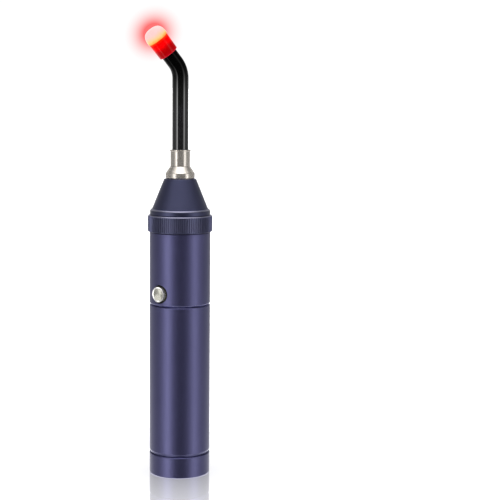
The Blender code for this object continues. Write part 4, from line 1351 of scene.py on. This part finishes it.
@dataclass(frozen=True)
class GlowingTip:
    """Red collar pushed onto the rod, and the frosted dome that glows at its end.

    The stops are the light's colours along the tip, from the collar's foot to the dome's end.
    """

    guide: LightGuide = field(default_factory=LightGuide)
    foot_radius: float = 0.00465
    end_radius: float = 0.0048
    dome_radius: float = 0.00505
    collar_length: float = 0.008
    dome_length: float = 0.0056
    fine: float = 0.00015
    spigot: float = 0.0012
    dome_steps: int = 24
    fullness: float = 3.0
    collar_roughness: float = 0.12
    dome_roughness: float = 0.3
    stops: Sequence[tuple[float, Colour]] = (
        (0.0, linear(205, 40, 60)),
        (0.03, linear(170, 4, 16)),
        (0.12, linear(158, 0, 4)),
        (0.26, linear(178, 0, 4)),
        (0.38, linear(246, 0, 8)),
        (0.51, linear(255, 8, 12)),
        (0.56, linear(255, 74, 16)),
        (0.63, linear(255, 172, 80)),
        (0.69, linear(255, 204, 134)),
        (0.77, linear(255, 204, 176)),
        (0.86, linear(254, 203, 200)),
    )

    def build(self) -> Piece:
        """Make the collar and the dome.

        Returns:
            The dome.
        """
        place = self.guide.tip_frame()
        rod = self.guide.rod
        total = self.collar_length + self.dome_length
        corners = [
            (rod + JOINT_LINE, 0.0, self.fine),
            (self.foot_radius, 0.0, self.fine),
            (self.end_radius, self.collar_length, self.fine / 2),
            (rod + JOINT_LINE, self.collar_length, self.fine / 2),
        ]
        glow = Glow(Slot.COLLAR, self.stops, total, self.collar_roughness)
        turned("tip_collar_moulded", corners, glow, "tip", "tip_collar", PIECE_SIDES, place)
        base = self.collar_length + JOINT_LINE
        reach = self.dome_length - JOINT_LINE
        corners = [(0.0, base - self.spigot), (rod, base - self.spigot, self.fine), (rod, base)]
        for step in range(self.dome_steps):
            angle = math.pi / 2 * step / self.dome_steps
            across = math.cos(angle) ** (2 / self.fullness)
            up = math.sin(angle) ** (2 / self.fullness)
            corners.append((self.dome_radius * across, base + reach * up))
        corners.append((0.0, base + reach))
        glow = Glow(Slot.DOME, self.stops, total, self.dome_roughness)
        return turned("tip_dome_moulded", corners, glow, "tip", "tip_dome", PIECE_SIDES, place)


@dataclass(frozen=True)
class LightSource:
    """Reflector, front lens and emitters, seen when the cone is off."""

    wall: float = 0.0007
    throat: float = 0.0054
    steps: int = 16
    fine: float = 0.00015
    base_radius: float = 0.0016
    base_height: float = 0.0006
    dome_radius: float = 0.001
    circle_radius: float = 0.0035
    outer_count: int = 4

    def build(self) -> None:
        """Make the pieces of the light source."""
        low, high, radius = span("reflector")
        mouth = radius - self.wall
        inside = []
        for step in range(self.steps + 1):
            rise = step / self.steps
            inside.append((self.throat + (mouth - self.throat) * math.sqrt(rise), low + (high - low) * rise))
        corners = [(radius + self.wall, level) for radius, level in inside] + inside[::-1]
        turned("reflector_cup", corners, MIRROR, "barrel", "reflector", PIECE_SIDES)
        low, high, radius = span("front_lens")
        turned("front_glass", square(0.0, radius, low, high, self.fine), GLASS, "barrel", "front_lens")
        sizes = {"Circle Radius": self.circle_radius, "Base Radius": self.base_radius}
        sizes.update({"Base Height": self.base_height, "Dome Radius": self.dome_radius})
        sizes["Outer Count"] = self.outer_count
        level = span("led_emitter_1").low + self.base_height / 2
        mesh = EmitterCluster().bake("emitter_cluster", sizes, level)
        nodes = [f"led_emitter_{number}" for number in range(1, self.outer_count + 2)]
        add_piece("emitter_cluster", mesh, EMITTER, "barrel", nodes)
        RubberRing("lens_o_ring", "lens_seal").build()


@dataclass(frozen=True)
class Spring:
    """A contact spring wound from plated wire."""

    node: str
    body: str
    wire: float
    turns: float = 5.0
    points: int = 32
    wire_sides: int = 10

    def build(self, wound: WoundWire) -> None:
        """Wind the spring where its CAD node lies.

        Args:
            wound: The tree of wound wires.
        """
        low, high, radius = span(self.node)
        coil = Span(low + self.wire, high - self.wire, radius - self.wire)
        name = self.node + "_wire"
        mesh = wound.wind(name, coil, self.turns, self.wire, self.points, self.wire_sides)
        add_piece(name, mesh, SPRING, self.body, [self.node])


@dataclass(frozen=True)
class HiddenPieces:
    """The inner CAD nodes that keep their shape and get a finish."""

    finishes: tuple[tuple[Finish, tuple[str, ...]], ...] = (
        (BOARD, ("tail_contact_board", "switch_board", "driver_board")),
        (BRASS, ("tail_retaining_ring", "led_heat_sink")),
        (WRAP, ("battery_cell",)),
        (STEEL, ("battery_positive_cap", "driver_capacitor")),
        (WHITE, ("battery_insulator", "led_board")),
        (NYLON, ("switch_plunger", "tact_switch", "switch_holder", "driver_inductor", "driver_chip")),
        (LEAD, ("led_lead_positive",)),
        (RUBBER, ("led_lead_negative",)),
    )

    def build(self) -> None:
        """Give each node its material."""
        for finish, nodes in self.finishes:
            for node in nodes:
                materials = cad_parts[node].data.materials
                materials.clear()
                materials.append(finish.material(node))
                log.info("%s keeps its shape", node)


class SoftBox(NamedTuple):
    """A round soft box: its angles round and above the button, in degrees, its distance, width and power."""

    around: float
    rise: float
    distance: float
    size: float
    power: float


@dataclass(frozen=True)
class Studio:
    """Pale floor, soft surrounding light, the photograph's camera and the glow in the air round the tip.

    The stops give the light's brightness by degrees: around, below and above the strips from the camera's
    side, positive to the right, and top by height. Sunk and cover say by height how far the light below and
    above takes over from the strips.
    """

    azimuth: float = math.radians(42)
    distance: float = 0.672
    height: float = 0.185
    pitch: float = math.radians(6.8)
    yaw: float = math.radians(2.76)
    roll: float = math.radians(0.47)
    focal_pixels: float = 1462.0
    image_pixels: float = 500.0
    sensor: float = 36.0
    clip: tuple[float, float] = (0.01, 100.0)
    floor_size: float = 30.0
    floor_colour: Colour = (0.9, 0.9, 0.9)
    gloss_colour: Colour = (0.97, 0.97, 1.0)
    gloss_roughness: float = 0.025
    mirror_fade: tuple[float, float, float, float] = (0.055, 0.12, 0.93, 0.35)
    # How strongly the floor glows by distance from the wand: painted light, weaker next to it.
    painted_glow_fade: tuple[float, float, float, float] = (0.014, 0.05, 0.29, 0.5)
    light: float = 6.0
    backdrop: float = 1.05
    strips: Stops = (
        (-60, 0.17), (-51, 0.42), (-43, 0.85), (-37, 0.08), (-29, 0.015),
        (30, 0.015), (42, 0.04), (54, 0.44), (61, 0.48),
    )
    around: tuple[Stops, Stops] = (
        ((-180, 0.14), (-163, 0.14), (-140, 0.078), (-95, 0.045), (-72, 0.055)),
        ((70, 0.09), (95, 0.045), (140, 0.07), (163, 0.14), (180, 0.14)),
    )
    below: tuple[Stops, Stops] = (
        ((-180, 0.46), (-163, 0.46), (-140, 0.27), (-95, 0.1), (-72, 0.07)),
        ((70, 0.12), (95, 0.11), (140, 0.25), (163, 0.46), (180, 0.46)),
    )
    above: Stops = (
        (-180, 0.22), (-150, 0.12), (-118, 0.03), (-70, 0.02), (-20, 0.11),
        (20, 0.11), (70, 0.02), (118, 0.03), (150, 0.12), (180, 0.22),
    )
    sunk: Stops = ((-90, 1.0), (-23, 1.0), (-9, 0.0), (0, 0.0))
    cover: Stops = ((0, 0.0), (14, 0.0), (34, 1.0), (90, 1.0))
    top: Stops = ((0, 0.0), (42, 0.0), (52, 0.16), (62, 0.5), (70, 0.7), (90, 0.7))
    boxes: tuple[SoftBox, ...] = (
        SoftBox(-88, 24, 0.5, 0.2, 0.19),
        SoftBox(-97, -37, 0.1, 0.04, 0.009),
        SoftBox(-84, 5, 0.5, 0.25, 0.13),
        SoftBox(-91, -14, 0.2, 0.04, 0.0042),
    )
    glow_pick: tuple[float, float] = (6.0, -2.0)
    glow_spread: float = 0.069
    glow_gain: float = 6.1
    glow_floor: float = -0.03
    glow_limit: float = 0.83

    def build(self, dome: Piece, button: Piece) -> None:
        """Make the studio.

        Args:
            dome: The piece whose glow shows in the air.
            button: The piece that the small soft boxes light.
        """
        settings = bpy.context.scene.view_settings
        settings.view_transform = "Standard"
        settings.look = "None"
        self.camera()
        self.floor()
        self.surround()
        self.button_light(button)
        self.air_glow(dome)

    def camera(self) -> None:
        """Place the photograph's camera."""
        data = bpy.data.cameras.new("camera")
        data.sensor_width = self.sensor
        data.lens = self.focal_pixels / self.image_pixels * self.sensor
        data.clip_start, data.clip_end = self.clip
        place = Vector((math.sin(self.azimuth), -math.cos(self.azimuth), 0)) * self.distance
        place.z = self.height
        turn = Matrix.Rotation(self.azimuth - self.yaw, 4, "Z")
        turn = turn @ Matrix.Rotation(math.pi / 2 - self.pitch, 4, "X") @ Matrix.Rotation(self.roll, 4, "Z")
        camera = link("camera", data)
        camera.matrix_world = Matrix.Translation(place) @ turn
        bpy.context.scene.camera = camera

    def button_light(self, button: Piece) -> None:
        """Hang the small soft boxes that light the button alone.

        Args:
            button: The button.
        """
        lit = bpy.data.collections.new("button_lit")
        lit.objects.link(button)
        middle = sum((Vector(corner) for corner in button.bound_box), Vector()) / 8
        for number, box in enumerate(self.boxes):
            data = bpy.data.lights.new(f"button_box_{number}", "AREA")
            data.shape = "DISK"
            data.size = box.size
            data.energy = box.power
            around, rise = self.azimuth + math.radians(box.around), math.radians(box.rise)
            flat = math.cos(rise)
            away = Vector((math.sin(around) * flat, -math.cos(around) * flat, math.sin(rise)))
            lamp = link(f"button_box_{number}", data)
            turn = away.to_track_quat("Z", "Y").to_matrix().to_4x4()
            lamp.matrix_world = Matrix.Translation(middle + away * box.distance) @ turn
            lamp.visible_camera = False
            lamp.light_linking.receiver_collection = lit

    def floor(self) -> None:
        """Lay the pale, slightly glossy floor, which glows: painted light that keeps it white, weaker near
        the wand.
        """
        bm = bmesh.new()
        bmesh.ops.create_grid(bm, x_segments=1, y_segments=1, size=self.floor_size / 2)
        mesh = bpy.data.meshes.new("floor")
        bm.to_mesh(mesh)
        bm.free()
        material = bpy.data.materials.new("floor")
        material.use_nodes = True
        material.node_tree.nodes.clear()
        tree = Wiring(material.node_tree)
        place = tree.node("ShaderNodeTexCoord").outputs["Object"]
        away = tree.node("ShaderNodeVectorMath", {0: place}, operation="LENGTH").outputs["Value"]
        matte = tree.node("ShaderNodeBsdfDiffuse", {"Color": (*self.floor_colour, 1.0)}).outputs[0]
        polish = {"Color": (*self.gloss_colour, 1.0), "Roughness": self.gloss_roughness}
        gloss = tree.node("ShaderNodeBsdfGlossy", polish).outputs[0]
        share = tree.remap(away, self.mirror_fade)
        mix = tree.node("ShaderNodeMixShader", {0: share, 1: matte, 2: gloss}).outputs[0]
        # The floor's own glow: painted light, weaker next to the wand so its reflection there shows.
        painted_floor_glow = tree.node("ShaderNodeEmission", {"Strength": tree.remap(away, self.painted_glow_fade)}).outputs[0]
        total = tree.node("ShaderNodeAddShader", {0: mix, 1: painted_floor_glow}).outputs[0]
        tree.node("ShaderNodeOutputMaterial", {"Surface": total})
        mesh.materials.append(material)
        floor = link("floor", mesh)
        floor.visible_glossy = False

    def surround(self) -> None:
        """Paint the light round the wand: two upright strips, a top light and a pale room behind."""
        world = bpy.data.worlds.new("studio")
        bpy.context.scene.world = world
        world.use_nodes = True
        world.node_tree.nodes.clear()
        tree = Wiring(world.node_tree)
        turn = {"Vector": tree.node("ShaderNodeTexCoord").outputs["Generated"]}
        turn["Rotation"] = (0, 0, math.pi / 2 - self.azimuth)
        place = tree.node("ShaderNodeMapping", turn).outputs[0]
        parts = tree.node("ShaderNodeSeparateXYZ", {0: place}).outputs
        angle = tree.sum("ARCTAN2", parts["Y"], parts["X"])
        rise = tree.sum("ARCSINE", parts["Z"])
        rings = [(*left, *self.strips, *right) for left, right in (self.around, self.below)]
        around, below, above = (self.profile(tree, angle, stops) for stops in (*rings, self.above))
        sunk, cover, top = (self.profile(tree, rise, stops) for stops in (self.sunk, self.cover, self.top))
        low = tree.node("ShaderNodeMix", {0: sunk, 2: around, 3: below}, data_type="FLOAT").outputs[0]
        level = tree.node("ShaderNodeMix", {0: cover, 2: low, 3: above}, data_type="FLOAT").outputs[0]
        strength = tree.sum("MULTIPLY", tree.sum("ADD", level, top), self.light)
        studio = tree.node("ShaderNodeBackground", {"Strength": strength}).outputs[0]
        white = {"Color": (1.0, 1.0, 1.0, 1.0), "Strength": self.backdrop}
        plain = tree.node("ShaderNodeBackground", white).outputs[0]
        seen = tree.node("ShaderNodeLightPath").outputs["Is Camera Ray"]
        mix = tree.node("ShaderNodeMixShader", {0: seen, 1: studio, 2: plain}).outputs[0]
        tree.node("ShaderNodeOutputWorld", {"Surface": mix})

    @staticmethod
    def profile(tree: Wiring, angle: Socket, stops: Stops) -> Socket:
        """Brightness by an angle.

        Args:
            tree: The world's tree.
            angle: The angle in radians.
            stops: Degrees, rising over the angle's whole range, and brightness.

        Returns:
            The brightness.
        """
        first, last = stops[0][0], stops[-1][0]
        share = tree.remap(angle, (math.radians(first), math.radians(last)))
        greys = [((degrees - first) / (last - first), (grey,) * 3) for degrees, grey in stops]
        return tree.node("ShaderNodeSeparateColor", {0: tree.ramp(share, greys, "EASE")}).outputs[0]

    def air_glow(self, source: Piece) -> None:
        """Spread the dome's red light round its picture, as a lens and a bright backdrop do.

        Args:
            source: The piece that glows.
        """
        scene, layer = bpy.context.scene, bpy.context.view_layer
        layer.use_pass_cryptomatte_object = True
        scene.use_nodes = True
        scene.node_tree.nodes.clear()
        tree = Wiring(scene.node_tree, "CompositorNodeMath")
        image = tree.node("CompositorNodeRLayers").outputs["Image"]
        matte = tree.node("CompositorNodeCryptomatteV2")
        matte.layer_name = f"{layer.name}.CryptoObject"
        matte.matte_id = source.name
        mask = matte.outputs["Matte"]
        split = tree.node("CompositorNodeSeparateColor", {0: image}).outputs
        bright = tree.limit(tree.sum("MULTIPLY_ADD", split["Blue"], *self.glow_pick), 1.0)
        width = {0: (self.glow_spread, self.glow_spread), "Image": image}
        relative = {"data_type": "VECTOR", "reference_dimension": "X"}
        size = tree.node("CompositorNodeRelativeToPixel", width, **relative).outputs[1]
        blurred = {"Image": tree.sum("MULTIPLY", bright, mask), "Size": size}
        blur = tree.node("CompositorNodeBlur", blurred, filter_type="GAUSS").outputs[0]
        glow = tree.limit(tree.sum("MULTIPLY_ADD", blur, self.glow_gain, self.glow_floor), self.glow_limit)
        outside = tree.sum("SUBTRACT", 1.0, mask)
        kept = tree.sum("SUBTRACT", 1.0, tree.sum("MULTIPLY", glow, outside))
        channels = {name: tree.sum("MULTIPLY", split[name], kept) for name in ("Green", "Blue")}
        channels.update({name: split[name] for name in ("Red", "Alpha")})
        whole = tree.node("CompositorNodeCombineColor", channels).outputs[0]
        tree.node("CompositorNodeComposite", {0: whole})


def main() -> None:
    """Build the wand's looks, from tail to tip."""
    logging.basicConfig(level=logging.INFO, format="%(message)s")
    wound = WoundWire()
    TailCap().build(wound)
    RubberRing("tail_o_ring", "tail").build()
    BatteryTube().build()
    HeadTube().build(wound)
    RubberRing("mid_o_ring", "barrel").build()
    button = PushButton().build()
    LightSource().build()
    Spring("tail_spring", "tail", wire=0.0004).build(wound)
    Spring("driver_spring", "barrel", wire=0.00035).build(wound)
    BezelRing().build()
    NoseCone().build()
    guide = LightGuide()
    guide.build()
    dome = GlowingTip(guide).build()
    HiddenPieces().build()
    Studio().build(dome, button)


if __name__ == "__main__":
    main()
